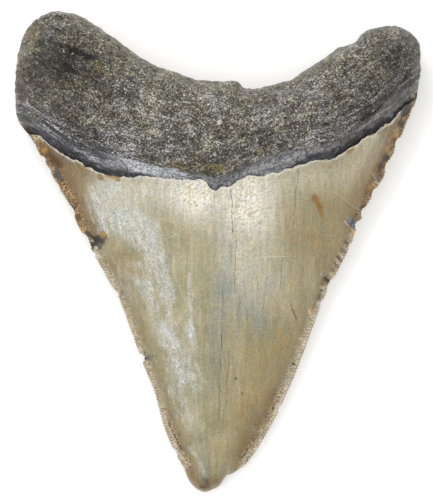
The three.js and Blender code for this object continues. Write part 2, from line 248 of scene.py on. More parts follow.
# Small damage that only this finer surface shows: knobs and dents along the cutting edges
EDGE_DAMAGE = each(
    Hollow,
    (-43.9, 26, 1.3, -0.35), (-40.6, 22.2, 2.6, 0.35), (-39.4, 17.6, 1, -0.25), (44.2, 27.9, 1.6, 0.45),
    (43.4, 24.6, 1.2, 0.3), (31.8, 2.2, 1.8, 0.35), (30.2, -1.6, 1.7, 0.3), (25.9, -11.4, 1.3, 0.4),
    (18.9, -28.2, 0.8, 0.3), (13.9, -39.6, 0.8, 0.3), (-12.4, -41, 0.9, 0.25), (-3.4, -54.4, 1.9, -0.4),
)

SPOTS = each(
    Spot,
    (-42, 23.4, 2.2, 3.2, AMBER, 0.6, 30, 0.9), (-39.8, 22, 1.6, 1.9, AMBER, 1, 30, 0.6),
    # The umber patch at (-42.8, 24.4) is painted shade beside the knob on the left edge.
    (-42.8, 24.4, 1, 0.6, UMBER, 0.7, -40), (-43.6, 25, 1, 0.9, FLAME, 0.9),
    (-43.3, 25.4, 0.7, 0.5, HONEY, 0.95, 20), (-44.6, 27, 1, 1.4, GOLD, 0.45, 20, 0.9),
    (-40, 19, 1.2, 2, BARK, 0.8, 30, 0.8), (-38.4, 18.6, 0.6, 1, ASH, 0.3, 30, 0.8),
    (-39.6, 16.6, 0.6, 1.2, FLAME, 0.7, 28), (-38.6, 15.6, 0.4, 0.5, HONEY, 0.7, 28),
    (-36.6, 12.6, 0.9, 3, UMBER, 0.42, 28, 0.9), (-37.8, 13.4, 0.4, 0.8, GOLD, 0.8, 28),
    (-36.8, 10.8, 0.6, 1.4, PEAT, 0.8, 28), (-35, 8.6, 1, 1.2, AMBER, 0.6, 28),
    (-33.9, 5.2, 0.8, 0.5, HONEY, 0.8, 20), (-35.4, 7.2, 0.4, 0.8, GOLD, 0.7, 28),
    (-30.1, 2.2, 2.7, 2, PEAT, 0.85, 30, 0.7), (-32.4, 4.2, 1.4, 0.8, UMBER, 0.8, -40),
    (-31.6, 2.6, 0.5, 0.4, CREAM, 0.9), (-30.6, 0.8, 0.5, 0.5, CREAM), (-32.2, 3.4, 0.4, 0.3, GOLD, 0.9),
    (-29.6, 1.6, 0.5, 0.4, ASH), (-28.9, 4.2, 0.9, 0.8, FLAME, 0.95, 0, 0.3), (-28.8, 4.4, 0.7, 0.5, HONEY),
    (-17.6, -26.8, 1.6, 0.8, ASH, 0.9), (-16.2, -26.4, 1.5, 0.5, ASH, 0.5),
    (-18.8, -27, 0.6, 0.5, SOOT, 0.7), (-22.4, -16.8, 1.1, 8, CREAM, 0.4, 21, 0.9),
    (-24.2, -10.4, 0.6, 0.9, ROSE, 0.6), (-26.6, -4.2, 1, 2.4, TAN, 0.5, 24, 0.9),
    (-12.2, -43.4, 0.5, 0.8, UMBER, 0.5), (-9.6, -49.6, 0.8, 1.1, UMBER, 0.5, 25),
    (42, 24, 2.4, 9, UMBER, 0.36, -25, 0.9), (37.6, 16, 2, 5, AMBER, 0.35, -30, 0.9),
    (48.4, 38.2, 1, 0.8, UMBER, 0.9, -30), (48.6, 38.9, 0.8, 0.5, CREAM, 0.8, -30),
    (46.9, 35.6, 1.4, 2.4, PEAT, 0.8, -28), (45.4, 32, 1, 1.1, UMBER, 0.8, -28), (43.2, 29.2, 1, 0.7, GOLD),
    (44.3, 28.9, 0.8, 1, PEACH, 0.9, -25), (43, 27.2, 1, 0.9, PEACH, 0.5),
    (42.2, 25.6, 0.8, 0.9, HONEY, 0.6), (41.8, 23.4, 0.9, 0.9, UMBER, 0.7),
    (40.4, 21.2, 0.9, 1.3, PEAT, 0.45, -25), (42.2, 21.6, 0.6, 0.8, PEACH, 0.7, -25),
    (39.2, 20.4, 0.6, 0.9, GOLD, 0.7, -25), (39.8, 18.4, 0.8, 0.5, ROSE, 0.7),
    (38.4, 16, 1.4, 1.3, FLAME, 0.85, -30), (39.4, 17.2, 0.9, 0.2, CREAM, 0.9, -40),
    (39, 16.5, 0.9, 0.2, CREAM, 0.9, -40), (38.4, 15.8, 0.8, 0.2, HONEY, 0.9, -40),
    (36.6, 12.6, 0.7, 1.2, GOLD, 0.5, -30), (36, 11, 0.9, 0.6, UMBER, 0.6, -30),
    (33.7, 7.1, 2, 1.2, SLATE, 0.7, -38, 0.3), (35.1, 6.9, 0.7, 0.4, SOOT, 0.25, -35),
    (33.9, 4.4, 0.5, 1, HONEY, 0.6, -24), (34.1, 3.4, 0.5, 0.8, FLAME, 0.7, -24),
    # Across the worn ribs of the right edge, from y 2 down to -10, the cream and chalk streaks are partly
    # painted highlights.
    (32, 2.2, 1.3, 0.4, ROSE, 0.9, -45), (31.6, 1.2, 1.4, 0.4, CREAM, 0.5, -45),
    (31.2, 0.2, 1.5, 0.5, ROSE, 0.9, -45), (30.6, -0.8, 1.4, 0.4, CREAM, 0.9, -50),
    (30.2, -1.8, 1.5, 0.35, BARK, 0.7, -50), (29.8, -2.6, 1.3, 0.4, CREAM, 0.7, -50),
    (29.4, -3.4, 1.5, 0.3, BARK, 0.6, -50), (28.6, -4.6, 1, 0.6, ROSE, 0.7, -50),
    (28.6, -6, 1.4, 0.5, CREAM, 0.6, -40), (27, -7, 1.9, 0.6, BARK, 0.9, -45),
    (26.2, -6.2, 0.8, 0.4, SOOT, 0.8, -45), (25.9, -6, 1, 0.25, CHALK, 0.7, -45),
    (26, -9, 1, 0.8, CREAM, 0.8, -45), (25.8, -9.8, 0.6, 0.4, UMBER, 0.7),
    (25, -11.6, 0.9, 1.2, ROSE, 0.75), (23.4, -14.8, 1.1, 1.9, PEACH, 0.6, 20, 0.8),
    (23, -15.6, 0.6, 1.4, CREAM, 0.9, 25), (18.9, -28.3, 0.6, 0.5, UMBER, 0.8, -30),
    (20.6, -21.8, 0.7, 0.5, CREAM, 0.7, -30), (15.6, -36.4, 0.7, 0.5, CREAM, 0.6),
    (13.9, -39.6, 0.5, 0.5, UMBER, 0.6), (24, 13.1, 1.1, 1.4, OCHRE, 0.95, 22, 0.4),
    (25, 11.2, 0.9, 1.6, OCHRE, 0.95, 20), (25.6, 9.4, 0.7, 1.5, FLAME, 0.7, 14, 0.6),
    (15.2, -26.6, 0.4, 0.8, FLAME, 0.5, 30), (3, -28.4, 0.3, 0.3, UMBER), (4.4, -31.8, 0.3, 0.3, UMBER),
    (5.9, -35.4, 0.3, 0.3, UMBER, 0.7), (8.4, -45.2, 2.6, 1.9, TAN, 0.5, -40),
    (10.4, -43.9, 0.6, 1.6, GOLD, 0.5, -40), (11.5, -11.9, 0.9, 1.3, SLATE, 0.2),
    (-2.8, -58, 1, 1.6, UMBER, 0.55, 10, 0.9), (-2.2, -53.8, 0.4, 3.2, ASH, 0.45, 6),
    (-3.4, -59.2, 2, 0.5, AMBER, 0.7), (4.6, -53.6, 2.4, 1, GOLD, 0.4, 30),
    (-26.2, 18.3, 2.8, 0.5, PEACH, 0.85, -6), (-24.8, 17.6, 1, 0.4, OCHRE, 0.6),
    (-29.2, 18.3, 1.4, 0.8, GOLD, 0.7, -35), (-30.8, 19.4, 0.5, 0.3, CREAM, 0.9),
    (-33.2, 20.4, 2, 0.9, GOLD, 0.6, -30), (32.4, 24.6, 1.2, 0.5, GOLD, 0.7, 25),
    (33.4, 25.4, 0.5, 0.4, HONEY), (39.7, 29.5, 0.6, 0.4, GOLD, 0.9, 35),
    (41.6, 31.3, 0.5, 0.4, CREAM, 0.9, 40), (37, 28, 2.6, 0.4, CREAM, 0.6, 35),
    # The two soot patches at the band's right end darken it as painted shade.
    (44.6, 38.2, 4.6, 1.9, SOOT, 0.6, 34, 0.9), (48.2, 41.4, 1.9, 2.8, SOOT, 0.4, 0, 0.9),
    (28.2, 21.8, 1, 0.6, HONEY, 0.5, 10), (27.6, 20.8, 0.8, 0.6, GOLD, 0.5),
    # The pearl streak at (-21.3, 22.2) is a painted highlight along the top of the band.
    (15.6, 31.8, 0.6, 0.6, GOLD, 0.5), (-21.3, 22.2, 5.6, 0.5, PEARL, 0.6, -14, 0.9),
    (-9.5, 20.7, 3, 0.4, TAN, 0.6, -18), (-48, 31.6, 1.4, 2.6, BARK, 0.8, 12, 0.8),
    (-47.6, 32.8, 0.5, 1.4, SOOT, 0.9, 15), (25.8, 22.6, 3.6, 1, SLATE, 0.4, 18, 0.9),
    # The chalk dot at (0.3, 31.7) is a painted glint on the root.
    (0.3, 31.7, 0.7, 0.8, CHALK, 1), (0.6, 27.9, 0.6, 0.6, SOOT), (-46, 53, 2, 4.4, TAN, 0.35, -20),
    (-29.8, 45.4, 1.2, 1.8, TAN, 0.45, 40), (-23, 44.2, 2.2, 0.9, TAN, 0.35),
    (-16.5, 40.8, 1.6, 0.8, TAN, 0.35), (-8.2, 40.2, 1.8, 0.7, TAN, 0.4), (-2, 40.9, 1.5, 0.6, TAN, 0.4),
    (0, 20.6, 2.6, 1, TAN, 0.7, -8), (10.2, 24.6, 1.2, 0.9, TAN, 0.6), (-45.5, 34.5, 1.2, 3, TAN, 0.3, -10),
    (-40.5, 39.5, 2.6, 2, ROSE, 0.2), (19, 39, 2.6, 1.4, ASH, 0.35, 30), (27.5, 38.5, 2.2, 1.6, ASH, 0.3),
    (41.8, 52, 3.4, 1.5, ASH, 0.3, 60), (12, 36, 2.4, 1.4, ASH, 0.25),
)

# Broad soft masks, by the name of the reading that they make or, if clear or grooves, change
WASHES = {
    # Crown: pale under the band, partly a painted highlight; frosted by wear and a painted reflection,
    # but for clear stretches; greyed, warmed, and its edges
    "pale": each(
        Stroke,
        (-6, 17, -5, 13.5, 5.5, 0.95), (7, 16.5, 8, 10, 6, 0.85), (-26, 16.5, -8, 15, 5.5, 0.45),
        (12, 17.5, 26, 19, 5, 0.28), (5, 10, 9, -6, 9, 0.35), (38, 27.5, 32, 18, 3, 0.2),
    ),
    "frost_and_sheen": each(
        Stroke,
        (-30.8, 14, -28.4, 6, 2.8, 0.65), (-27, 14.5, -24, 5, 4, 0.5), (-23, 9, -17.4, -1, 4, 0.7),
        (-17.5, 7, -11.8, -12, 2.2, 0.6), (-20.4, -4, -15.6, -14, 2.6, 0.45),
        (-13, -19, -9.6, -31, 2.8, 0.75), (-7.6, -20, -6, -33.5, 2.8, 0.4),
        (-7.2, -6, -6.6, -22.5, 0.8, 0.6), (-13.2, -9, -12.4, -15.5, 0.8, 0.5),
        (-10.6, -34.5, -7.8, -43, 2.2, 0.4), (-6.8, -49.5, -3.4, -56.4, 1.1, 0.55),
        (1.4, -2.6, 3.4, -5.6, 1.6, 0.3), (-22.5, -2, -19, -9, 3.2, 0.45), (-26.6, -4, -22, -12, 1.4, 0.35),
        (-12, -20, -8, -38, 5, 0.2), (-26, 14, -14, -8, 6, 0.2),
    ),
    "clear": each(
        Stroke,
        (-27.6, 1.2, -20, -1.4, 1.7, 0.8), (-25, -3, -18, -6, 1.5, 0.45),
    ),
    "cool": each(
        Stroke,
        (-1, 13, -0.5, 4, 2.2, 0.5), (2.6, 2, 1.6, -10, 2.6, 0.45), (2, -10, 10, -17, 4.2, 0.7),
        (0.5, -16, -1.4, -34, 2.4, 0.6), (12, -9, 16.5, -7, 1.6, 0.4), (-4, -46, -3, -56, 1.2, 0.4),
        (-19.6, -22, -15.4, -34, 1, 0.35),
    ),
    "tan": each(
        Stroke,
        (-9, 9, -8, 2, 1.8, 0.5), (5, 5, 9, 1, 2.4, 0.5), (15, 12, 19, 2, 3, 0.7),
        (23, 3, 25, -2, 1.8, 0.6), (14.5, -24, 14, -36, 3, 0.3), (7, -40, 8, -48, 3, 0.75),
        (-13.5, 12, -13, 6, 2, 0.35), (-24, -1, -20, -6, 2.2, 0.6), (-16, -12, -13, -16, 1.6, 0.5),
        (26, 12, 28, -2, 2.6, 0.4), (27, 20, 34, 14, 4.5, 0.5), (40, 26, 33, 12, 3, 0.5),
        (-39, 21, -31, 13, 4, 0.6),
    ),
    "warm": each(
        Stroke,
        (26, 18, 30, 6, 10, 0.6), (20, 2, 17, -22, 8.5, 0.55), (14, -24, 4, -50, 7, 0.6),
        (-40, 22, -35, 12, 4, 0.75), (-3, -4, 8, -30, 8, 0.25), (-20, -18, -13, -38, 2.6, 0.55),
    ),
    "ribbed": each(
        Stroke,
        (-31, -1, -18, -31, 3, 1), (-17, -34, -8, -54, 3, 0.7), (34.6, 3, 30.5, -6, 3, 0.5),
        (28.5, -10, 6, -54, 3, 0.85),
    ),
    "amber": each(
        Stroke,
        (-45, 27.5, -38.4, 17, 3.6, 0.85), (-36.8, 15, -31.4, 4, 2.5, 0.65), (-42, 26, -33, 20, 2.8, 0.5),
        (49, 38, 43, 31, 2.6, 0.6), (-28, -3, -15, -38, 1.5, 0.35), (-13, -41, -7, -56, 2.2, 0.5),
        (47.5, 35, 34, 7, 3, 0.5), (31, -1, 17, -32, 1.7, 0.15), (15, -36, 6, -51, 2.4, 0.55),
        (-5, -58.5, 2, -57.5, 1.4, 0.6),
    ),
    # Band and root: a painted silvery highlight, silt, rust, grooves (also darkened as painted shade),
    # painted shade and ash
    "silver": each(
        Stroke,
        (-20.6, 20.9, -16, 20, 1.5, 1), (-14, 19.7, -8, 18.8, 1.2, 0.55), (-27, 22.4, -22, 21.4, 1, 0.45),
        (10, 20.8, 20, 23.6, 1.5, 0.15),
    ),
    "silty": each(
        Stroke,
        (-47, 55, -49, 48, 3, 0.7), (-34, 57.5, -18, 46.5, 2.6, 0.55), (-16, 44.5, 6, 40.5, 2.4, 0.65),
        (-30.5, 47, -27.5, 43.5, 1.6, 0.7), (-25, 44.5, -20, 43, 1.4, 0.6), (-42, 36, -33, 40, 3, 0.35),
        (-4.5, 20.8, 2, 20.2, 1.6, 0.5), (20, 43, 40, 54, 2, 0.3),
    ),
    "rusty": each(
        Stroke,
        (-50, 45, -48.5, 33, 3, 0.8), (-47, 31.5, -44, 31, 2, 0.6), (48.5, 53, 50, 44, 2.2, 0.4),
        (-50, 50, -44, 58, 1.8, 0.4),
    ),
    "grooves": each(
        Stroke,
        (-41.5, 51.8, -36, 49.6, 1, 0.7), (-36, 49.6, -31.5, 47.6, 0.9, 0.8),
        (-38.2, 45.6, -34.8, 44.2, 1, 0.9), (-30.5, 31, -29.6, 27.6, 0.7, 0.5),
        (26, 30.4, 36, 37.6, 0.6, 0.45), (36, 36, 46, 44.6, 0.7, 0.5),
    ),
    "gloom": each(
        Stroke,
        (-41, 49, -32, 44, 5, 0.5), (-47, 35, -30, 25.5, 3.5, 0.36), (36, 42, 47, 49, 6, 0.15),
        (47, 40.5, 34, 31, 3.6, 0.75), (-45, 42, -38, 36, 5, 0.25),
    ),
    "ashen": each(
        Stroke,
        (-22, 34, 22, 34, 9, 0.8), (24, 36, 34, 44, 6, 0.9), (-30, 32, -20, 26, 4, 0.5),
    ),
}

# Thin lines: each is a start, an end, a width and a strength
CRACKS = each(
    Stroke,
    (-0.9, 14.5, -0.6, 11, 0.3, 0.5), (3.3, 15.6, 3.5, 5, 0.3), (4.6, 3.5, 4, -10, 0.28, 0.9),
    (3.2, 2, 3.1, -9, 0.22, 0.5), (1.1, -9.5, 0.9, -24, 0.3), (0.9, -20, 0.2, -42, 0.3, 0.9),
    (2.9, -24.5, 2, -39.5, 0.28, 0.85), (7.3, -14.5, 7, -29.5, 0.22, 0.55), (11.1, 18, 10.9, 9, 0.2, 0.35),
    (12.6, 17.5, 12.2, 5, 0.2, 0.35), (20, 21, 18.8, 9, 0.26, 0.8), (18.7, 8, 18.2, 1, 0.2, 0.4),
    (15.8, -1, 15.6, -9, 0.26, 0.7), (13.6, -2, 13.4, -12, 0.2, 0.35), (18.4, -13.2, 19.6, -16.6, 0.6),
    (-6.2, 15, -6, 11.6, 0.24, 0.5), (9.7, -3, 9.6, -16, 0.2, 0.4), (-2.2, 2, -2.4, -8, 0.2, 0.35),
    (-3.2, -18, -3.3, -23.5, 0.22, 0.6), (-6.5, -10.5, -6.5, -17, 0.24, 0.5), (5.4, -8, 5, -22, 0.18, 0.45),
    (8.6, -20, 8, -33, 0.18, 0.35), (12.2, -6, 11.6, -14, 0.22, 0.5), (6.6, 13, 6.4, 2, 0.18, 0.3),
    (2.1, -11, 1.7, -27, 0.18, 0.45), (-1, -12, -1.4, -28, 0.18, 0.3), (19, 3, 18.2, -6, 0.2, 0.45),
    (17, 9, 16.6, -1, 0.18, 0.3), (1.5, -40.5, 1, -46, 0.2, 0.35), (12.5, 5, 12, -7, 0.18, 0.3),
)
SCRATCHES = each(
    Stroke,
    (10.3, -1.2, 16.8, -1, 0.3, 0.9), (28.6, 15.2, 37.6, 9, 0.24, 0.6), (-13.8, 8.4, -7.4, 6.6, 0.22, 0.4),
    (-6.4, 4.5, -6.9, -12, 0.22, 0.35), (-6.6, -12, -6.4, -20, 0.28, 0.6),
    (8.6, -43.5, 11.6, -47.4, 0.24, 0.5), (-16.6, 6.4, -11.2, -8.4, 0.26, 0.6),
    (-15, 7.6, -10.4, -2.6, 0.22, 0.5), (-18.4, 3, -14.8, -7.2, 0.24, 0.5),
    (-21.6, 9.2, -17.4, 0.6, 0.26, 0.5), (-24.6, 13.6, -21, 4, 0.22, 0.4),
    (-11.8, -2, -7.6, -14, 0.22, 0.4), (-13.4, 3.2, -9.8, 4.6, 0.22, 0.5), (-12.4, 5.4, -8, 3.4, 0.22, 0.4),
    (38.2, 20.2, 41, 16, 0.24, 0.7), (-19.4, -10, -14.6, -19.6, 0.22, 0.4),
    (31.6, 7.8, 34.4, 4.8, 0.36, 0.9),
)
STRIAE = each(
    Stroke,
    (-41.5, 51.8, -36, 49.8, 1.4, 0.8), (-36, 49.8, -31, 47.4, 1.6, 0.85),
    (-38.4, 45.8, -34.8, 44.2, 1.5, 0.85), (-26.5, 46.4, -17.5, 39.2, 0.9, 0.6),
    (40.8, 46.8, 44.8, 50.4, 1.7, 0.6), (-30.5, 31.2, -29.4, 27.8, 1, 0.7), (-46.5, 32.5, -40, 27.6, 1.3),
    (-40.4, 27.8, -35.4, 24.4, 1, 0.9), (-43.6, 32.4, -36.6, 27.8, 1, 0.9), (-36.8, 27.6, -31.4, 24, 1.1),
    (-40.6, 32, -34.5, 27.4, 0.8, 0.9), (-34.6, 27.2, -27.5, 23.4, 1, 0.9),
    (-37, 30.6, -31, 26.8, 0.7, 0.8), (-31, 26.6, -26.4, 24.3, 0.8, 0.8),
    (-34.5, 29.6, -28, 25.8, 0.6, 0.7), (-45.6, 34.4, -42, 32.4, 0.9, 0.8),
    (27, 30.2, 37.5, 36.2, 0.9, 0.8), (37.5, 36, 47.4, 42.2, 1.3, 0.9), (30, 30.4, 38, 34.2, 0.7, 0.8),
    (38.4, 34.6, 46.6, 38.8, 1, 0.9), (25.5, 26.6, 32, 28.2, 0.8, 0.9), (32.4, 28.4, 40.5, 33.4, 0.9, 0.9),
    (24, 28.4, 31, 31.6, 0.6, 0.7), (41, 34.4, 47.6, 38.6, 1.2, 0.8),
)
BAND_CRACKS = each(
    Stroke,
    (-24.5, 24, -22.3, 20.8, 0.7), (-22.3, 20.8, -22.6, 18.8, 0.5, 0.9), (21.4, 25.8, 22.4, 23.4, 0.8),
    (-2, 18, -1.2, 15.4, 0.4, 0.7), (-17.4, 21.4, -16.4, 19, 0.4, 0.8),
    (-26.5, 23.6, -24.6, 21.2, 0.4, 0.8), (1.4, 18.2, 2.4, 16.2, 0.4, 0.7),
    (9.8, 21.6, 12.6, 20.6, 0.4, 0.6),
)


def mix(low: Array | float, high: Array | float, share: Array | float) -> Array | float:
    """Goes from one value to another: low + (high - low) x share."""
    return low + (high - low) * share


def smooth(low: float, high: float, value: Array) -> Array:
    """Rises from 0 at low to 1 at high as 3t^2 - 2t^3, where t is the share of the way."""
    step = np.clip((value - low) / (high - low), 0.0, 1.0)
    return step * step * (3.0 - 2.0 * step)


def rounded(distance: Array, radius: float) -> Array:
    """A quarter circle's height at a distance in from the rim, from 0 at the rim to 1."""
    return np.sqrt(1.0 - (1.0 - np.clip(distance / radius, 0.0, 1.0)) ** 2)


def closer_at_ends(step: Array) -> Array:
    """Draws even steps closer together at both ends: s - 0.4 sin(2 pi s) / 2 pi."""
    return step - 0.4 * np.sin(2.0 * np.pi * step) / (2.0 * np.pi)


def scatter(i: Array, j: Array) -> Array:
    """A fixed number from 0 to 1 for each lattice corner: fract(43758.5 sin(127.1 i + 311.7 j))."""
    wave = np.sin(i * 127.1 + j * 311.7) * 43758.5453
    return wave - np.floor(wave)


def lumps(x: Array, y: Array) -> Array:
    """Smooth lumps between -0.5 and 0.5: corner values of a square lattice, smoothly blended."""
    i, j = np.floor(x), np.floor(y)
    a, b = smooth(0.0, 1.0, x - i), smooth(0.0, 1.0, y - j)
    low = mix(scatter(i, j), scatter(i + 1, j), a)
    high = mix(scatter(i, j + 1), scatter(i + 1, j + 1), a)
    return mix(low, high, b) - 0.5


def pores(x: Array, y: Array, spacing: float, share: float) -> Array:
    """Depth from 0 to 1 of scattered round pores: one in each chosen cell of a lattice.

    Each cell's pore stands off its centre and has its own radius, from 0.18 to 0.42 of the
    spacing, and its depth falls as (1 - r^2)^2 from its middle.

    Args:
        x: places in millimetres.
        y: places in millimetres.
        spacing: width of a cell.
        share: share of the cells that have a pore.

    Returns:
        The depth at each place.
    """
    depth = np.zeros_like(x)
    column, row = np.floor(x / spacing), np.floor(y / spacing)
    for over in (-1, 0, 1):
        for up in (-1, 0, 1):
            i, j = column + over, row + up
            middle_x = (i + mix(0.2, 0.8, scatter(i, j + 7))) * spacing
            middle_y = (j + mix(0.2, 0.8, scatter(i + 13, j))) * spacing
            radius = mix(0.18, 0.42, scatter(i + 5, j + 3)) * spacing
            away = np.hypot(x - middle_x, y - middle_y) / radius
            chosen = (scatter(i + 31, j + 17) < share) & (away < 1.0)
            depth = np.maximum(depth, np.where(chosen, (1.0 - away**2) ** 2, 0.0))
    return depth


def hollows(x: Array, y: Array, places: Sequence[Hollow]) -> Array:
    """Summed depth of round hollows: depth x (1 - r^2)^2 inside each one's radius."""
    depth = np.zeros_like(x)
    for place in places:
        away = np.hypot(x - place.x, y - place.y) / place.radius
        depth += np.where(away < 1.0, place.depth * (1.0 - away**2) ** 2, 0.0)
    return depth


def washed(x: Array, y: Array, washes: Sequence[Stroke]) -> Array:
    """A mask from 0 to 1: each stroke fades as exp(-(distance / size)^2), and they add up as cover."""
    bare = np.ones_like(x)
    for wash in washes:
        bare *= 1.0 - wash.strength * np.exp(-((wash.distance(x, y) / wash.size) ** 2))
    return 1.0 - bare


def distance_to_path(points: Array, path: Array, chunk: int = 8000) -> Array:
    """Distance of many points from a path of straight stretches, a chunk of points at a time.

    Args:
        points: one x, y pair a row.
        path: the path's corners in order, one x, y pair a row.
        chunk: how many points are worked out at once.

    Returns:
        Each point's distance from the nearest stretch.
    """
    nearest = np.empty(len(points))
    start, step = path[:-1], np.diff(path, axis=0)
    length = (step**2).sum(axis=1)
    for first in range(0, len(points), chunk):
        away = points[first : first + chunk, None, :] - start[None]
        share = np.clip((away * step).sum(axis=2) / length, 0.0, 1.0)
        gap = away - share[..., None] * step
        nearest[first : first + chunk] = np.sqrt((gap**2).sum(axis=2).min(axis=1))
    return nearest


@dataclass(frozen=True)
class GuideCurve:
    """A smooth curve through points in plan, read by shares of its length.

    Between two points it is the uniform Catmull-Rom cubic, with the end points doubled. A
    curve may waver: each of its points then stands off it by smooth lumps, which die out at
    both ends.

    Attributes:
        points: what the curve passes through.
        waver: pairs of a lump's length along the curve and how far it stands off.
    """

    points: tuple[Point, ...]
    waver: tuple[tuple[float, float], ...] = ()

    @cached_property
    def path(self) -> tuple[Array, Array]:
        """Shares of the length, and the x, y points there, at 4000 even steps of the cubic."""
        points = np.array(self.points)
        last = len(points) - 1
        t = np.linspace(0.0, last, 4001)
        span = np.minimum(np.floor(t).astype(int), last - 1)
        w = (t - span)[:, None]
        p0, p1 = points[np.maximum(span - 1, 0)], points[span]
        p2, p3 = points[span + 1], points[np.minimum(span + 2, last)]
        v0, v1 = (p2 - p0) / 2.0, (p3 - p1) / 2.0
        curve = (2 * p1 - 2 * p2 + v0 + v1) * w**3 + (3 * p2 - 3 * p1 - 2 * v0 - v1) * w**2 + v0 * w + p1
        lengths = np.concatenate([[0.0], np.cumsum(np.hypot(*np.diff(curve, axis=0).T))])
        shares = lengths / lengths[-1]
        fade = smooth(0.0, 0.03, shares) * (1.0 - smooth(0.97, 1.0, shares))
        tangent = np.gradient(curve, axis=0)
        normal = np.stack([-tangent[:, 1], tangent[:, 0]], axis=1) / np.hypot(*tangent.T)[:, None]
        offsets = (2.0 * height * lumps(lengths / size, lengths * 0 + size) for size, height in self.waver)
        return shares, curve + normal * (fade * sum(offsets, 0.0))[:, None]

    def at(self, share: Array) -> Array:
        """The x, y points at shares of the curve's length, one pair a row."""
        shares, points = self.path
        return np.stack([np.interp(share, shares, points[:, axis]) for axis in (0, 1)], axis=-1)

    def stretch(self, start: float, end: float) -> Callable[[Array], Array]:
        """The part of the curve between two shares, read by its own shares from 0 to 1."""
        return lambda share: self.at(mix(start, end, share))

    def distance(self, xy: Array, steps: int, near: Array, far: Array | float) -> Array:
        """Distance of points from the curve, drawn in straight steps, where they are near it.

        Args:
            xy: one point a row.
            steps: how many straight steps the curve is drawn in.
            near: whether a point's distance is worked out.
            far: what the other points get.

        Returns:
            The distances.
        """
        distance = np.full(len(xy), 0.0) + far
        distance[near] = distance_to_path(xy[near], self.at(np.linspace(0.0, 1.0, steps + 1)))
        return distance


@dataclass(frozen=True)
class ToothPlan:
    """The tooth's outline and guide lines in plan, with the small waver of the broken lines."""

    left_edge: GuideCurve = GuideCurve(LEFT_CUTTING_EDGE)
    right_edge: GuideCurve = GuideCurve(RIGHT_CUTTING_EDGE)
    tip_edge: GuideCurve = GuideCurve(TIP_EDGE)
    root_edge: GuideCurve = GuideCurve(ROOT_EDGE, ((2.3, 0.2), (0.9, 0.12)))
    enamel_line: GuideCurve = GuideCurve(ENAMEL_LINE, ((1.7, 0.32), (0.8, 0.2)))
    labial_enamel_line: GuideCurve = GuideCurve(LABIAL_ENAMEL_LINE, ((2.4, 0.3), (1.1, 0.2)))

    @cached_property
    def root_line(self) -> GuideCurve:
        """The line where the root's crust begins, from side to side of the root's outline."""
        ends = self.root_edge.at(np.array([ROOT_LINE_LEFT_END, ROOT_LINE_RIGHT_END]))
        return GuideCurve((tuple(ends[0]), *ROOT_LINE, tuple(ends[1])), ((2.6, 0.4), (1.1, 0.22)))

    @cached_property
    def root_top(self) -> Callable[[Array], Array]:
        """The top of the root, from the left lobe's turn to the right lobe's."""
        return self.root_edge.stretch(LEFT_LOBE_TURN, RIGHT_LOBE_TURN)


@dataclass
class Site:
    """Where points of a face lie, as arrays of one length, in millimetres.

    Attributes:
        xy: plan position, one pair a row.
        across: place across the tooth, from -1 at the left outline to 1 at the right.
        stretch: the Stretch that each point is in.
        step: share of the way up that stretch.
        above_enamel: distance above the enamel line, below zero on the crown.
        above_root_line: distance above the line where the crust begins.
        from_tip: distance from the tip's edge.
        from_root_edge: distance from the root's outline.
        from_cutting_edge: distance from the nearer cutting edge.
        from_enamel: the shortest distance from the enamel line, out to 14 mm.
    """

    xy: Array
    across: Array
    stretch: Array
    step: Array
    above_enamel: Array
    above_root_line: Array
    from_tip: Array
    from_root_edge: Array
    from_cutting_edge: Array
    from_enamel: Array

    @property
    def x(self) -> Array:
        """Place across the tooth in millimetres."""
        return self.xy[:, 0]

    @property
    def y(self) -> Array:
        """Place along the tooth in millimetres."""
        return self.xy[:, 1]

    @property
    def along(self) -> Array:
        """Place along the enamel line, which runs up to the right: 0.9 x + 0.3 y."""
        return self.x * 0.9 + self.y * 0.3


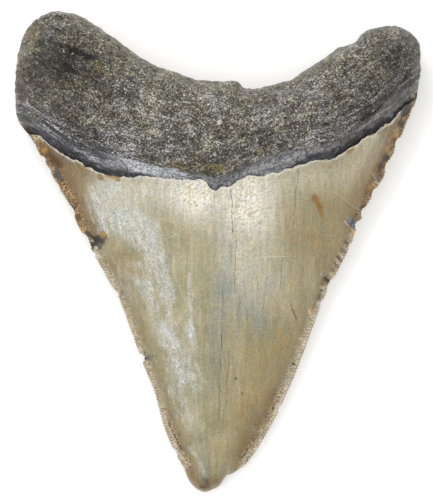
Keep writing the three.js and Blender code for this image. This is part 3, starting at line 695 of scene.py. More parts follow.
@dataclass(frozen=True)
class ToothRelief:
    """Heights of the outline and of the two faces above the table, as formulas of a site."""

    crown_thickness: float = 24.0
    tip_thickness: float = 3.6
    root_thickness: float = 26.5
    lobe_thickness: float = 17.8
    crown_edge_height: float = 8.3
    tip_edge_height: float = 1.7
    root_edge_height: float = 13.0
    lobe_edge_height: float = 9.2
    lingual_rim_radius: float = 11.0
    labial_rim_radius: float = 8.0
    tip_rim_radius: float = 3.0
    half_root_width: float = 50.0
    tip_y: float = -59.9
    crown_base_y: float = 34.0
    worn_depth: float = 0.7
    tip_lift: float = 0.8
    notch: tuple[float, float, float, float, float] = (0.0, 38.0, 17.0, 13.0, 3.0)
    band_recess_middle: float = 0.45
    band_recess_sides: float = 1.0
    root_lip: float = 0.5
    labial_enamel_lip: float = 0.5
    least_thickness: float = 0.8
    crust_octaves: tuple[Point, ...] = ((9.0, 1.3), (4.6, 0.9))
    fine_octaves: tuple[Point, ...] = ((2.3, 0.62), (1.25, 0.46), (0.72, 0.26))
    labial_crust_shift: float = 137.0

    def crown_share(self, site: Site) -> Array:
        """Share of the way along the crown, from the tip to the height of its corners."""
        return np.clip((site.y - self.tip_y) / (self.crown_base_y - self.tip_y), 0.0, 1.0)

    def root_share(self, site: Site) -> Array:
        """How far a site's form is the root's and not the crown's."""
        return smooth(-4.0, 14.0, site.above_enamel)

    def lobe_share(self, site: Site) -> Array:
        """Share of the way from the middle of the root to the end of a lobe."""
        return np.clip(np.abs(site.x) / self.half_root_width, 0.0, 1.0)

    def outline_height(self, site: Site) -> Array:
        """Height of the outline: from tip to corner on the crown, highest mid-root, lower on the lobes."""
        crown = mix(self.tip_edge_height, self.crown_edge_height, self.crown_share(site) ** 1.2)
        middle = np.cos(np.pi / 2.0 * self.lobe_share(site)) ** 2
        return mix(crown, mix(self.lobe_edge_height, self.root_edge_height, middle), self.root_share(site))

    def crust(self, x: Array, y: Array) -> Array:
        """Broad lumps of the root: each octave's height x lumps of its size."""
        return sum(height * lumps(x / size, y / size) for size, height in self.crust_octaves)

    def fine_crust(self, site: Site) -> Array:
        """The root's porous grain: three finer octaves, sharp valleys and scattered pores."""
        x, y = site.x, site.y
        grain = sum(
            height * lumps(x / size + size * 7, y / size - size * 5) for size, height in self.fine_octaves)
        valleys = np.maximum(0.0, 0.12 - np.abs(lumps(x / 2.1 + 40, y / 1.5 + 9))) / 0.12
        return grain - 0.22 * valleys - 0.38 * pores(x, y, 1.7, 0.45) - 0.6 * pores(x + 50, y, 4.6, 0.12)

    def lamellar(self, site: Site) -> Array:
        """Where the root shows layers along the band: its outer thirds, up to 7.5 mm above the band."""
        up = site.above_root_line
        return smooth(14.0, 26.0, np.abs(site.x)) * (1.0 - smooth(2.0, 7.5, up)) * smooth(-0.5, 0.4, up)

    def groove(self, site: Site) -> Array:
        """Where the band is darkened as painted shade beside the enamel: up to 3 mm wide in the outer
        thirds, narrower at the right.
        """
        width = 3.0 * smooth(14.0, 27.0, np.abs(site.x)) * (1.0 - 0.55 * smooth(38.0, 46.0, site.x))
        depth = 1.0 - smooth(0.35, 1.0, site.from_enamel / np.maximum(width, 0.1))
        return depth * (site.above_enamel > 0.0)

    def layers(self, site: Site) -> Array:
        """Layers of the root beside the band: long lumps that follow the enamel line."""
        along, up = site.along, site.above_enamel
        return lumps(along / 8.0, up / 1.1) + 0.7 * lumps(along / 5.0 + 9, up / 0.6)

    def band_recess(self, site: Site) -> Array:
        """Depth of the groove that the band lies in: steep at both its edges, deepest along the enamel."""
        away = np.abs(site.x)
        sides = smooth(12.0, 26.0, away) * (1.0 - smooth(43.0, 50.0, away))
        depth = mix(self.band_recess_middle, self.band_recess_sides, sides) * (1.0 - 0.55 * site.step)
        walls = smooth(0.0, 0.1, site.step) * (1.0 - smooth(0.9, 1.0, site.step))
        return np.where(site.stretch == Stretch.BAND, depth * walls, 0.0)

    def crown_texture(self, site: Site) -> Array:
        """The enamel's slow waves along its fibres, and the small damage of its edges."""
        waves = 0.1 * lumps(site.x / 3.4, site.y / 34.0) + 0.05 * lumps(site.x / 1.2 + 3, site.y / 16.0)
        rough = 0.22 * lumps(site.x / 1.5, site.y / 1.5) * (1.0 - smooth(0.6, 3.4, site.from_cutting_edge))
        share = 1.0 - smooth(-1.5, 0.5, site.above_enamel)
        return share * (waves + rough) - hollows(site.x, site.y, EDGE_DAMAGE)

    def lingual_height(self, site: Site) -> Array:
        """The face that looks up: crown arch or root dome, then crust, lip, band groove and flakes."""
        rim = self.outline_height(site)
        crown_middle = mix(self.tip_thickness, self.crown_thickness, self.crown_share(site) ** 0.85)
        arch = (1.0 - site.across**2) ** 1.15 * rounded(site.from_tip, self.tip_rim_radius)
        root_middle = mix(self.root_thickness, self.lobe_thickness, self.lobe_share(site) ** 1.6)
        inside = rounded(site.from_root_edge, self.lingual_rim_radius)
        body = mix(mix(rim, crown_middle, arch), mix(rim, root_middle, inside), self.root_share(site))

        up = site.above_root_line
        crust_share = smooth(0.0, 5.0, up) * inside
        layered = self.lamellar(site)
        fine_share = smooth(0.0, 1.6, up) * smooth(0.0, 0.5, inside) * (1.0 - 0.8 * layered)
        relief = crust_share * (self.crust(site.x, site.y) - hollows(site.x, site.y, PITS))
        relief += fine_share * self.fine_crust(site) + 0.8 * layered * inside * self.layers(site)
        relief -= 0.8 * inside * washed(site.x, site.y, WASHES["grooves"])
        lip = self.root_lip * smooth(-0.1, 0.6, up) * (1.0 - smooth(1.0, 6.0, up)) * inside
        flakes = hollows(site.x, site.y, FLAKES)
        return body + relief + lip - self.band_recess(site) - flakes + self.crown_texture(site)

    def labial_height(self, site: Site) -> Array:
        """The face that it lies on: nearly flat, worn off at the table, hollow between the lobes."""
        rim = self.outline_height(site)
        crown_middle = mix(self.tip_lift, -self.worn_depth, smooth(0.0, 0.3, self.crown_share(site)))
        arch = (1.0 - np.abs(site.across) ** 2.4) * rounded(site.from_tip, self.tip_rim_radius)
        x, y, half_width, half_length, depth = self.notch
        hollow = depth * np.exp(-(((site.x - x) / half_width) ** 2) - ((site.y - y) / half_length) ** 2)
        inside = rounded(site.from_root_edge, self.labial_rim_radius)
        root = mix(rim, hollow - self.worn_depth, inside)
        body = mix(mix(rim, crown_middle, arch), root, self.root_share(site))

        crust_share = smooth(0.0, 4.0, site.above_enamel) * inside
        fine_share = smooth(0.0, 1.6, site.above_enamel) * smooth(0.0, 0.5, inside)
        relief = crust_share * self.crust(site.x + self.labial_crust_shift, site.y)
        relief += fine_share * self.fine_crust(site)
        step = self.labial_enamel_lip * smooth(0.0, 0.8, site.above_enamel) * inside
        return np.maximum(body + relief + step, 0.0)


@dataclass(frozen=True)
class EdgeProfile:
    """What the cutting edges have lost: the gaps between serrations, nicks and fine chipping."""

    serrations: int = 120
    serration_depth: float = 0.32
    face_groove: float = 0.2
    chipping: float = 0.16
    wear: float = 0.5
    proud: float = 0.45

    def gap(self, share: Array) -> Array:
        """How far a place is in a gap: 1 between two serrations and 0 on one's crest, as 1 - |sin|^0.8."""
        return 1.0 - np.abs(np.sin(np.pi * self.serrations * share)) ** 0.8

    def loss(self, share: Array, y: Array, on_left: bool) -> Array:
        """How far the outline stands in from its smooth curve at shares of a cutting edge."""
        side = share * 0 + (1.0 if on_left else 8.0)
        worn = smooth(-2.0, 6.0, y)
        loss = self.serration_depth * (1.0 - 0.5 * worn) * self.gap(share)
        loss *= mix(0.5, 1.5, lumps(share * 40, side) + 0.5)
        loss += self.chipping * (lumps(share * 26.0, side) + 0.5)
        loss += self.wear * worn * (lumps(share * 62.0, side + 4.0) + 0.5)
        for nick in NICKS:
            away = np.abs(y - nick.y) / nick.half_length
            if nick.on_left == on_left:
                loss += nick.depth * np.clip(1.0 - away**2, 0.0, 1.0)
        return (loss - self.proud) * smooth(0.0, 0.01, share) * (1.0 - smooth(0.99, 1.0, share))


@dataclass
class ToothMesh:
    """The tooth's surface: two sheets of vertices that share the outline.

    Rows run across the tooth from the tip to the top of the root, and lie on the guide lines.
    Along the cutting edges a narrow rim of each sheet has finer rows, which carry the
    serrations, and a fan of triangles joins each coarse row of the sheet to them.

    Attributes:
        crown_rows: fine rows along the cutting edges.
        band_steps: places of the band's rows, as shares of its width.
        root_rows: rows of the root.
        columns: columns between the two rims.
        rim_columns: columns of each rim.
        rim_width: width of each rim in millimetres.
        rim_rounds: how often the rims' widths are worked out anew.
        widest_rim: the most of the way across that a rim takes.
        fine_per_row: fine rows for each of the sheet's crown rows, by sheet.
        skip: the rows of band and root that a sheet keeps, every one or every second, by sheet.
        crown_blend: powers by which the lower and the upper guide's shape fades on the crown.
        crown_steps: straight steps that stand for a cutting edge where distances are measured.
        enamel_steps: the same for the enamel line.
        root_steps: the same for the root's outline.
        far: the distance that stands for any that is too long to matter.
        labial_warmth: how warm the enamel of the hidden face is all over.
        labial_silt: how silty the root of the hidden face is all over.
    """

    crown_rows: int = 720
    band_steps: tuple[float, ...] = (0.04, 0.1, 0.19, 0.3, 0.42, 0.55, 0.68, 0.8, 0.92, 1.0)
    root_rows: int = 96
    columns: int = 232
    rim_columns: int = 5
    rim_width: float = 1.4
    rim_rounds: int = 3
    widest_rim: float = 0.15
    fine_per_row: tuple[int, int, int] = (0, 6, 12)
    skip: tuple[int, int, int] = (0, 1, 2)
    crown_blend: Point = (8.0, 2.5)
    crown_steps: int = 96
    enamel_steps: int = 240
    root_steps: int = 480
    far: float = 99.0
    labial_warmth: float = 0.45
    labial_silt: float = 0.25

    def __post_init__(self) -> None:
        """Lays out the rows of the outline, from the tip to where the root's top begins."""
        plan = self.plan = ToothPlan()
        self.relief = ToothRelief()
        self.edges = EdgeProfile()
        crown = np.linspace(0.0, 1.0, self.crown_rows + 1)
        band = np.array(self.band_steps)
        root = closer_at_ends(np.arange(1, self.root_rows + 1) / self.root_rows)
        self.step = np.concatenate([crown, band, root])
        self.stretch = np.repeat(list(Stretch), [len(crown), len(band), len(root)])
        self.left, self.right = (
            np.concatenate([
                edge.at(crown), plan.root_edge.at(mix(corner, line_end, band)),
                plan.root_edge.at(mix(line_end, turn, root))])
            for edge, corner, line_end, turn in (
                (plan.left_edge, 0.0, ROOT_LINE_LEFT_END, LEFT_LOBE_TURN),
                (plan.right_edge, 1.0, ROOT_LINE_RIGHT_END, RIGHT_LOBE_TURN),
            )
        )
        self.last_row = len(self.step) - 1
        self.inward = [self.inward_normals(self.left, 1.0), self.inward_normals(self.right, -1.0)]
        self.rim_share = [self.rim_shares(on_left) for on_left in (True, False)]
        self.vertices: list[tuple[Array, Array, Array, Array]] = []
        self.count = 0

    @property
    def rim_steps(self) -> Array:
        """Shares of a rim's width at its columns."""
        return np.arange(1, self.rim_columns + 1) / self.rim_columns

    def inward_normals(self, side: Array, turn: float) -> Array:
        """Directions square to a side of the outline, into the tooth, at each of its rows."""
        tangent = np.gradient(side, axis=0)
        tangent /= np.hypot(*tangent.T)[:, None]
        return turn * np.stack([tangent[:, 1], -tangent[:, 0]], axis=1)

    def rim_shares(self, on_left: bool) -> Array:
        """Shares of the way across at which a rim is as wide as it should be, by rows."""
        rows = np.arange(self.last_row + 1)
        share = self.rim_width / np.hypot(*(self.right - self.left).T)
        for _ in range(self.rim_rounds):
            xy = self.place(rows, share if on_left else 1.0 - share, Sheet.LINGUAL)
            away = distance_to_path(xy, self.left if on_left else self.right)
            share = np.clip(share * self.rim_width / away, 0.0, self.widest_rim)
        return share

    def squared(self, xy: Array, rows: Array, across: Array, inside: Array) -> Array:
        """Turns the rims of the crown square to the cutting edges, so that the serrations' grooves are."""
        crown = np.where(rows < self.crown_rows, self.step[rows], 1.0)
        share = smooth(0.0, 0.06, crown) * (1.0 - smooth(0.9, 1.0, crown))
        moved = xy.copy()
        for side, inward, rim, way in (
            (self.left, self.inward[0], self.rim_share[0], across),
            (self.right, self.inward[1], self.rim_share[1], 1.0 - across),
        ):
            chosen = (way <= rim[rows] * 1.0001) & (share > 0.0)
            at = rows[chosen]
            straight = side[at] + inward[at] * (self.rim_width * inside[chosen])[:, None]
            moved[chosen] = mix(xy[chosen], straight, share[chosen][:, None])
        return moved

    def sheet_step(self, rows: Array, sheet: Sheet) -> tuple[Array, Array]:
        """The patch that each row is in on a sheet, and its share of the way up that patch.

        The lingual sheet has a patch for each stretch. The labial one has no band, so its root
        patch starts at the enamel line, and the share is that of the two sides' length.
        """
        stretch, step = self.stretch[rows], self.step[rows]
        if sheet != Sheet.LABIAL:
            return stretch, step
        band = ROOT_LINE_LEFT_END + 1.0 - ROOT_LINE_RIGHT_END
        band_share = band / (LEFT_LOBE_TURN + 1.0 - RIGHT_LOBE_TURN)
        by_stretch = [step, band_share * step, mix(band_share, 1.0, step)]
        return np.minimum(stretch, Stretch.BAND), np.choose(stretch, by_stretch)

    def place(self, rows: Array, across: Array, sheet: Sheet) -> Array:
        """Plan positions inside the patches between the guide lines.

        Each is the blend from the patch's left to its right side, plus what its lower and its
        upper guide stand off the straight lines between its corners, each fading with the
        distance from that guide.

        Args:
            rows: each point's row.
            across: each point's share of the way from the left outline to the right.
            sheet: the sheet whose guides are used.

        Returns:
            One x, y pair for each point.
        """
        plan = self.plan
        first_root = self.crown_rows + len(self.band_steps)
        ends = (0, self.crown_rows, first_root, self.last_row)
        guides = [plan.tip_edge.at, plan.enamel_line.at, plan.root_line.at, plan.root_top]
        if sheet == Sheet.LABIAL:
            ends = (0, self.crown_rows, self.last_row)
            guides = [plan.tip_edge.at, plan.labial_enamel_line.at, plan.root_top]
        patch, up = self.sheet_step(rows, sheet)
        xy = np.empty((len(rows), 2))
        for k in range(len(ends) - 1):
            chosen = patch == k
            u, v = across[chosen], up[chosen][:, None]
            low, high = ends[k], ends[k + 1]
            fall, rise = self.crown_blend if k == 0 else (1.0, 1.0)
            lower = guides[k](u) - mix(self.left[low], self.right[low], u[:, None])
            upper = guides[k + 1](u) - mix(self.left[high], self.right[high], u[:, None])
            sides = mix(self.left[rows[chosen]], self.right[rows[chosen]], u[:, None])
            xy[chosen] = sides + (1.0 - v) ** fall * lower + v**rise * upper
        return xy

    def site(self, rows: Array, across: Array, inside: Array, sheet: Sheet) -> Site:
        """Works out where points lie, and their distances from the guide lines and the rims."""
        plan = self.plan
        xy = self.squared(self.place(rows, across, sheet), rows, across, inside)
        enamel = plan.labial_enamel_line if sheet == Sheet.LABIAL else plan.enamel_line
        stretch, step = self.stretch[rows], self.step[rows]
        is_crown = (stretch == Stretch.CROWN) & (rows < self.crown_rows)
        below_root_line = (stretch != Stretch.ROOT) & (rows < self.crown_rows + len(self.band_steps))
        above = np.hypot(*(xy - enamel.at(across)).T) * np.where(is_crown, -1, 1)
        sides = (plan.left_edge, plan.right_edge)
        return Site(
            xy=xy, across=2.0 * across - 1.0, stretch=stretch, step=step, above_enamel=above,
            above_root_line=np.hypot(*(xy - plan.root_line.at(across)).T) * np.where(below_root_line, -1, 1),
            from_tip=np.hypot(*(xy - plan.tip_edge.at(across)).T),
            from_root_edge=plan.root_edge.distance(xy, self.root_steps, above > -4.5, self.far),
            from_cutting_edge=np.minimum(*(
                edge.distance(xy, self.crown_steps, above < 3.0, self.far) for edge in sides)),
            from_enamel=enamel.distance(
                xy, self.enamel_steps, (above > -2.0) & (above < 14.0), np.abs(above)))

    def add(self, rows: Array, across: Array, inside: Array | float, sheet: Sheet) -> Array:
        """Adds vertices and gives their numbers, in the shape of the arrays given.

        Args:
            rows: each vertex's row.
            across: each vertex's share of the way across the tooth.
            inside: 0 on the outline, 1 at the rim's inner line and beyond.
            sheet: the sheet that the vertices belong to.

        Returns:
            The vertices' numbers.
        """
        rows, across, inside = np.broadcast_arrays(rows, across, inside)
        numbers = self.count + np.arange(rows.size).reshape(rows.shape)
        self.vertices.append((rows.ravel(), across.ravel(), inside.ravel(), np.full(rows.size, sheet)))
        self.count += rows.size
        return numbers

    def columns_of(self, rows: Array) -> tuple[Array, Array, Array]:
        """Shares across the tooth of the left rim's, the body's and the right rim's columns."""
        left, right = (share[rows][:, None] for share in self.rim_share)
        body = closer_at_ends(np.arange(1, self.columns) / self.columns)
        return left * self.rim_steps, mix(left, 1.0 - right, body), 1.0 - right * self.rim_steps

    def shared_row(self, row: int, left: int, right: int) -> tuple[Array, Array, Array]:
        """Adds the vertices of the tip's edge or of the root's top, which both sheets use."""
        left_rim, body, right_rim = self.columns_of(np.array([row]))
        return (
            np.append([left], self.add(row, left_rim[0], self.rim_steps, Sheet.OUTLINE)),
            self.add(row, body[0], 1.0, Sheet.OUTLINE),
            np.append([right], self.add(row, right_rim[0], self.rim_steps, Sheet.OUTLINE)),
        )

    def fan(self, fine: Array, coarse: Array, per_row: int) -> Array:
        """Triangles between a fine column on the left and a coarse one on its right, facing up."""
        half = per_row // 2
        start = np.arange(len(coarse) - 1) * per_row
        middle = np.stack([coarse[:-1], coarse[1:], fine[start + half]], axis=1)
        parts = [middle]
        for k in range(per_row):
            corner = coarse[:-1] if k < half else coarse[1:]
            parts.append(np.stack([fine[start + k], corner, fine[start + k + 1]], axis=1))
        return np.concatenate(parts)

    def sheet_faces(self, sheet: Sheet, outline: tuple, tip: tuple, top: tuple) -> list[tuple[Array, Array]]:
        """Adds a sheet's vertices and gives its faces, each list with the rows they start at."""
        inner = np.arange(1, self.last_row)
        left_rim, _, right_rim = self.columns_of(inner)
        rims = []
        for side, shares in ((0, left_rim), (2, right_rim)):
            numbers = self.add(inner[:, None], shares, self.rim_steps, sheet)
            numbers = np.concatenate([outline[side // 2][inner][:, None], numbers], axis=1)
            rims.append(np.concatenate([tip[side][None], numbers, top[side][None]]))
        left, right = rims[0], rims[1][:, ::-1]

        per_row, skip = self.fine_per_row[sheet], self.skip[sheet]
        crown_end = self.crown_rows
        rows = np.append(np.arange(0, crown_end, per_row), np.arange(crown_end, self.last_row + 1, skip))
        inner = rows[1:-1]
        body = self.add(inner[:, None], self.columns_of(inner)[1], 1.0, sheet)
        body = np.concatenate([tip[1][None], body, top[1][None]])

        faces = []
        for grid, grid_rows in ((left, None), (body, rows), (right, None)):
            quads = np.stack([grid[:-1, :-1], grid[:-1, 1:], grid[1:, 1:], grid[1:, :-1]], axis=-1)
            starts = np.arange(len(grid) - 1) if grid_rows is None else grid_rows[:-1]
            faces.append((quads.reshape(-1, 4), np.repeat(starts, grid.shape[1] - 1)))
        crown_cells = crown_end // per_row
        for fine, coarse, turned in ((left[:, -1], body[:, 0], False), (right[:, 0], body[:, -1], True)):
            for part, low, high in ((per_row, 0, crown_cells), (skip, crown_cells, len(rows) - 1)):
                first, last = rows[low], rows[high]
                fans = self.fan(fine[first : last + 1], coarse[low : high + 1], part)
                faces.append((fans[:, ::-1] if turned else fans, np.tile(rows[low:high], part + 1)))
        if sheet == Sheet.LABIAL:
            faces = [(face[:, ::-1], starts) for face, starts in faces]
        return faces

    def build(self) -> tuple[Array, dict[str, Array], list[tuple[Array, Array]]]:
        """Makes the whole surface.

        Returns:
            The vertices' places in millimetres, the arrays that the finishes read by name, and
            lists of faces with the finish of each face.
        """
        every = np.arange(self.last_row + 1)
        left = self.add(every, 0.0, 0.0, Sheet.OUTLINE)
        right = self.add(every, 1.0, 0.0, Sheet.OUTLINE)
        tip = self.shared_row(0, left[0], right[0])
        top = self.shared_row(self.last_row, left[-1], right[-1])
        faces = []
        for sheet in (Sheet.LINGUAL, Sheet.LABIAL):
            for face, starts in self.sheet_faces(sheet, (left, right), tip, top):
                finish = self.stretch[np.minimum(starts + 1, self.last_row)]
                if sheet == Sheet.LABIAL:
                    finish = np.where(finish == Stretch.BAND, Stretch.ROOT, finish)
                faces.append((face, finish))
        rows, across, inside, sheets = (np.concatenate(part) for part in zip(*self.vertices))
        places = np.empty((self.count, 3))
        readings: dict[str, Array] = {}
        for sheet in Sheet:
            chosen = sheets == sheet
            site = self.site(rows[chosen], across[chosen], inside[chosen], sheet)
            places[chosen] = self.raise_sheet(site, rows[chosen], inside[chosen], sheet)
            for name, values in self.readings(site, sheet).items():
                whole = readings.setdefault(name, np.zeros((self.count, *values.shape[1:])))
                whole[chosen] = values
        return places, readings, faces

    def raise_sheet(self, site: Site, rows: Array, inside: Array, sheet: Sheet) -> Array:
        """Gives a sheet's points their heights, and takes off what the cutting edges have lost."""
        relief = self.relief
        labial = relief.labial_height(site)
        if sheet == Sheet.OUTLINE:
            height = relief.outline_height(site)
        elif sheet == Sheet.LINGUAL:
            height = np.maximum(relief.lingual_height(site), labial + relief.least_thickness)
        else:
            height = labial
        xy = site.xy.copy()
        for on_left, side, inward in zip((True, False), (self.left, self.right), self.inward):
            loss = self.edges.loss(self.step[: self.crown_rows + 1], side[: self.crown_rows + 1, 1], on_left)
            chosen = ((site.across < 0) == on_left) & (site.stretch == Stretch.CROWN) & (inside < 1.0)
            at = rows[chosen]
            xy[chosen] += inward[at] * (loss[at] * (1.0 - inside[chosen]) ** 1.5)[:, None]
            groove = self.edges.face_groove * self.edges.gap(self.step[at])
            groove *= smooth(0.0, 0.3, inside[chosen]) * (1.0 - inside[chosen])
            if sheet == Sheet.LINGUAL:
                height[chosen] -= groove
            elif sheet == Sheet.LABIAL:
                height[chosen] += groove
        return np.column_stack([xy, height])

    def readings(self, site: Site, sheet: Sheet) -> dict[str, Array]:
        """The numbers at each vertex that the finishes read, by name: few marks are on both faces."""
        x, y, up = site.x, site.y, site.above_root_line
        mask = {name: washed(x, y, washes) for name, washes in WASHES.items()}
        mask["frost_and_sheen"] *= 1.0 - mask.pop("clear")
        # The root's grooves are darkened with the gloom: both are painted shade.
        mask["gloom"] = np.maximum(mask["gloom"], mask.pop("grooves"))
        less_at_right = 1.0 - 0.5 * smooth(20.0, 30.0, x)
        mask |= {
            "lamellar": self.relief.lamellar(site) * less_at_right,
            # groove and under_lip mark where the band is darkened as painted shade, beside the enamel and
            # under the root's lip.
            "groove": self.relief.groove(site),
            "dusty": smooth(24.0, 34.0, x),
            "under_lip": smooth(-1.0, -0.1, up) * (up < 0.2),
            "stain_and_painted_light": painted(x, y, SPOTS),
        }
        if sheet == Sheet.LABIAL:
            for name in mask.keys() - {"ribbed", "amber", "silty", "rusty"}:
                mask[name] *= 0.0
            mask["warm"] += self.labial_warmth
            mask["silty"] += self.labial_silt
        return mask | {
            "edge": site.from_cutting_edge,
            "serration": np.where(site.stretch == Stretch.CROWN, site.step * self.edges.serrations, 0.0),
            "height": smooth(-0.9, 0.5, self.relief.fine_crust(site)),
            "outer": smooth(24.0, 31.0, np.abs(x)) * less_at_right,
            "strata": np.column_stack([
                site.along, np.copysign(site.from_enamel, site.above_enamel),
                site.above_enamel - 0.1 * np.abs(x)]),
        }


def painted(x: Array, y: Array, spots: Sequence[Spot]) -> Array:
    """Colour and cover of the patches, mostly stains and a few painted highlights and shade, laid over each
    other in order.

    A patch covers strength x (1 - smooth(1 - soft, 1 + soft / 2, q)), where q is the distance
    from its centre in its own half sizes, made ragged by small lumps.

    Args:
        x: places in millimetres.
        y: places in millimetres.
        spots: the patches, lowest first.

    Returns:
        Linear red, green and blue, and the cover, one row a place.
    """
    colour, cover = np.zeros((len(x), 3)), np.zeros(len(x))
    ragged = 0.7 * lumps(x / 0.9, y / 0.9) + 0.4 * lumps(x / 0.5, y / 0.5)
    for spot in spots:
        turn = np.radians(spot.turn)
        dx, dy = x - spot.x, y - spot.y
        over = (dx * np.cos(turn) + dy * np.sin(turn)) / spot.half_width
        up = (dy * np.cos(turn) - dx * np.sin(turn)) / spot.half_length
        q = np.hypot(over, up) + ragged * 0.6
        alpha = spot.strength * (1.0 - smooth(1.0 - spot.soft, 1.0 + spot.soft / 2.0, q))
        total = alpha + cover * (1.0 - alpha)
        part = np.divide(alpha, total, out=np.zeros_like(alpha), where=total > 1e-6)
        colour = mix(colour, np.array(linear(spot.stain_and_painted_light.value)[:3]), part[:, None])
        cover = total
    return np.column_stack([colour, cover])


def linear(hex_colour: str) -> Colour:
    """Turns an sRGB hex colour into linear red, green, blue and alpha."""
    channels = [int(hex_colour[k : k + 2], 16) / 255.0 for k in (1, 3, 5)]
    return (*(c / 12.92 if c <= 0.04045 else ((c + 0.055) / 1.055) ** 2.4 for c in channels), 1.0)


class Finish:
    """A material in the making: its node tree, with coordinates in millimetres.

    An input of a node may be given as a string: an sRGB hex colour, or the name of the vertex
    reading that it takes.

    Attributes:
        waver_length: length of the waves in thin lines.
        dash_length: length of the dashes that thin lines are broken into.
    """

    waver_length: float = 3.4
    dash_length: float = 1.1

    def __init__(self, name: str) -> None:
        """Starts the material."""
        self.material = bpy.data.materials.new(name)
        self.material.use_nodes = True
        self.tree = self.material.node_tree
        self.tree.nodes.clear()
        metres = self.add("TexCoord", output="Object")
        self.place = self.add("VectorMath MULTIPLY", metres, (1.0 / MILLIMETRE,) * 3)
        self.strata = self.add("Attribute", attribute_name="strata", output="Vector")

    def add(
        self,
        kind: str,
        *values: Value,
        inputs: Mapping[str, Value] | None = None,
        output: str | None = None,
        stops: Sequence[tuple[float, str]] = (),
        **settings: object,
    ) -> Socket | None:
        """Adds a node with its settings and links.

        Args:
            kind: the node's type name, and its operation or data type after a space.
            values: what its inputs in use get, in order.
            inputs: what its inputs get by name.
            output: name of the output to give back, or None for the first in use.
            stops: places and colours of a colour ramp.
            settings: the node's own settings by name.

        Returns:
            The chosen output, or None where the node has no output.
        """
        kind, *choice = kind.split()
        node = self.tree.nodes.new("ShaderNode" + kind)
        if choice:
            settings["data_type" if kind == "Mix" else "operation"] = choice[0]
        for name, setting in settings.items():
            setattr(node, name, setting)
        if stops:
            ramp = node.color_ramp.elements
            for _ in range(len(stops) - len(ramp)):
                ramp.new(0.5)
            for element, (position, colour) in zip(ramp, stops):
                element.position, element.color = position, linear(colour)
        usable = [socket for socket in node.inputs if socket.enabled]
        named = {socket.name: socket for socket in reversed(usable)}
        pairs = [*zip(usable, values), *((named[name], value) for name, value in (inputs or {}).items())]
        for socket, value in pairs:
            if isinstance(value, str) and value.startswith("#"):
                value = linear(value)
            elif isinstance(value, str):
                value = self.add("Attribute", attribute_name=value, output="Fac")
            if isinstance(value, Socket):
                self.tree.links.new(value, socket)
            else:
                socket.default_value = value
        chosen = (socket for socket in node.outputs if socket.enabled and output in (None, socket.name))
        return next(chosen, None)

    def coat(self, under: Value, *coats: tuple) -> Socket:
        """Lays colours over another, each through a mask that a noise breaks up.

        The cover is mask x r, where r rises from least to 1 while the noise goes from low to high.

        Args:
            under: the colour below.
            coats: the colour, mask, noise, low, high and least of each, where least may be left out.

        Returns:
            The mixed colour.
        """
        for paint, mask, grain, low, high, *least in coats:
            kept = self.add("MapRange", grain, low, high, *(least or (0,)), 1)
            cover = self.add("Math MULTIPLY", mask, kept, use_clamp=True)
            under = self.add("Mix RGBA", cover, under, paint)
        return under

    def shade(self, colour: Value, *shades: tuple) -> Value:
        """Darkens and lightens a colour by noises, each given with its two levels and two strengths."""
        for noise, *levels in shades:
            colour = self.add("VectorMath SCALE", colour, self.add("MapRange", noise, *levels))
        return colour

    def total(self, *parts: tuple[Value, float]) -> Value:
        """Adds up values, each times its weight."""
        added: Value = 0.0
        for part, weight in parts:
            added = self.add("Math MULTIPLY_ADD", part, weight, added)
        return added

    def stain_and_painted_light(self, under: Value, grain: Value, raggedness: float) -> Socket:
        """Lays the patches, stains and a few painted highlights and shade, over a colour: a noise makes
        their edges ragged and their tone uneven.
        """
        add = self.add
        stain_and_painted_light, cover = (add("Attribute", attribute_name="stain_and_painted_light", output=name) for name in ("Color", "Alpha"))
        ragged = add("Math ADD", cover, add("MapRange", grain, 0.3, 0.7, -raggedness, raggedness))
        edge = add("MapRange", ragged, 0.2, 0.6, 0, 1)
        cover = add("Math MULTIPLY", edge, add("MapRange", cover, 0.02, 0.6, 0, 0.95))
        return add("Mix RGBA", cover, under, self.shade(stain_and_painted_light, (grain, 0.3, 0.7, 0.65, 1.25)))

    def marks(self, lines: Sequence[Stroke], waver: float) -> Socket:
        """A mask of thin lines: 1 on each line and 0 half its width away, kept where it is highest.

        The distance from a line is that from the foot on it, kept between its ends, of a place
        that noise has moved a little, so that the line wavers. A finer noise breaks it into dashes.

        Args:
            lines: the lines.
            waver: how far the lines stand off straight, in millimetres.

        Returns:
            The mask.
        """
        add = self.add
        off = add("TexNoise", self.place, 1 / self.waver_length, 3, 0.6, output="Color")
        off = add("VectorMath MULTIPLY", add("VectorMath SUBTRACT", off, (0.5,) * 3), (waver * 4, waver, 0))
        moved = add("VectorMath ADD", add("VectorMath MULTIPLY", self.place, (1, 1, 0)), off)
        mask: Value = 0.0
        for line in lines:
            start = np.array([line.start_x, line.start_y, 0.0])
            along = np.array([line.end_x, line.end_y, 0.0]) - start
            away = add("VectorMath SUBTRACT", moved, tuple(start))
            share = add("VectorMath DOT_PRODUCT", away, tuple(along / (along @ along)), output="Value")
            foot = add("VectorMath SCALE", tuple(along), add("Clamp", share, 0, 1))
            gap = add("VectorMath DISTANCE", away, foot, output="Value")
            mask = add("Math MAXIMUM", mask, add("MapRange", gap, line.size / 2, 0, 0, line.strength))
        dashes = add("TexNoise", self.place, 1 / self.dash_length, 2, 0.65)
        return add("Math MULTIPLY", mask, add("MapRange", dashes, 0.34, 0.54, 0.4, 1))

    def close(self, heights: Value, **settings: Value) -> bpy.types.Material:
        """Gives the material its surface by its settings, with a bump from heights in millimetres."""
        bump = self.add("Bump", inputs={"Height": heights, "Distance": MILLIMETRE})
        settings = {name.replace("_", " "): value for name, value in settings.items()}
        self.add("OutputMaterial", self.add("BsdfPrincipled", inputs={"Normal": bump, **settings}))
        return self.material


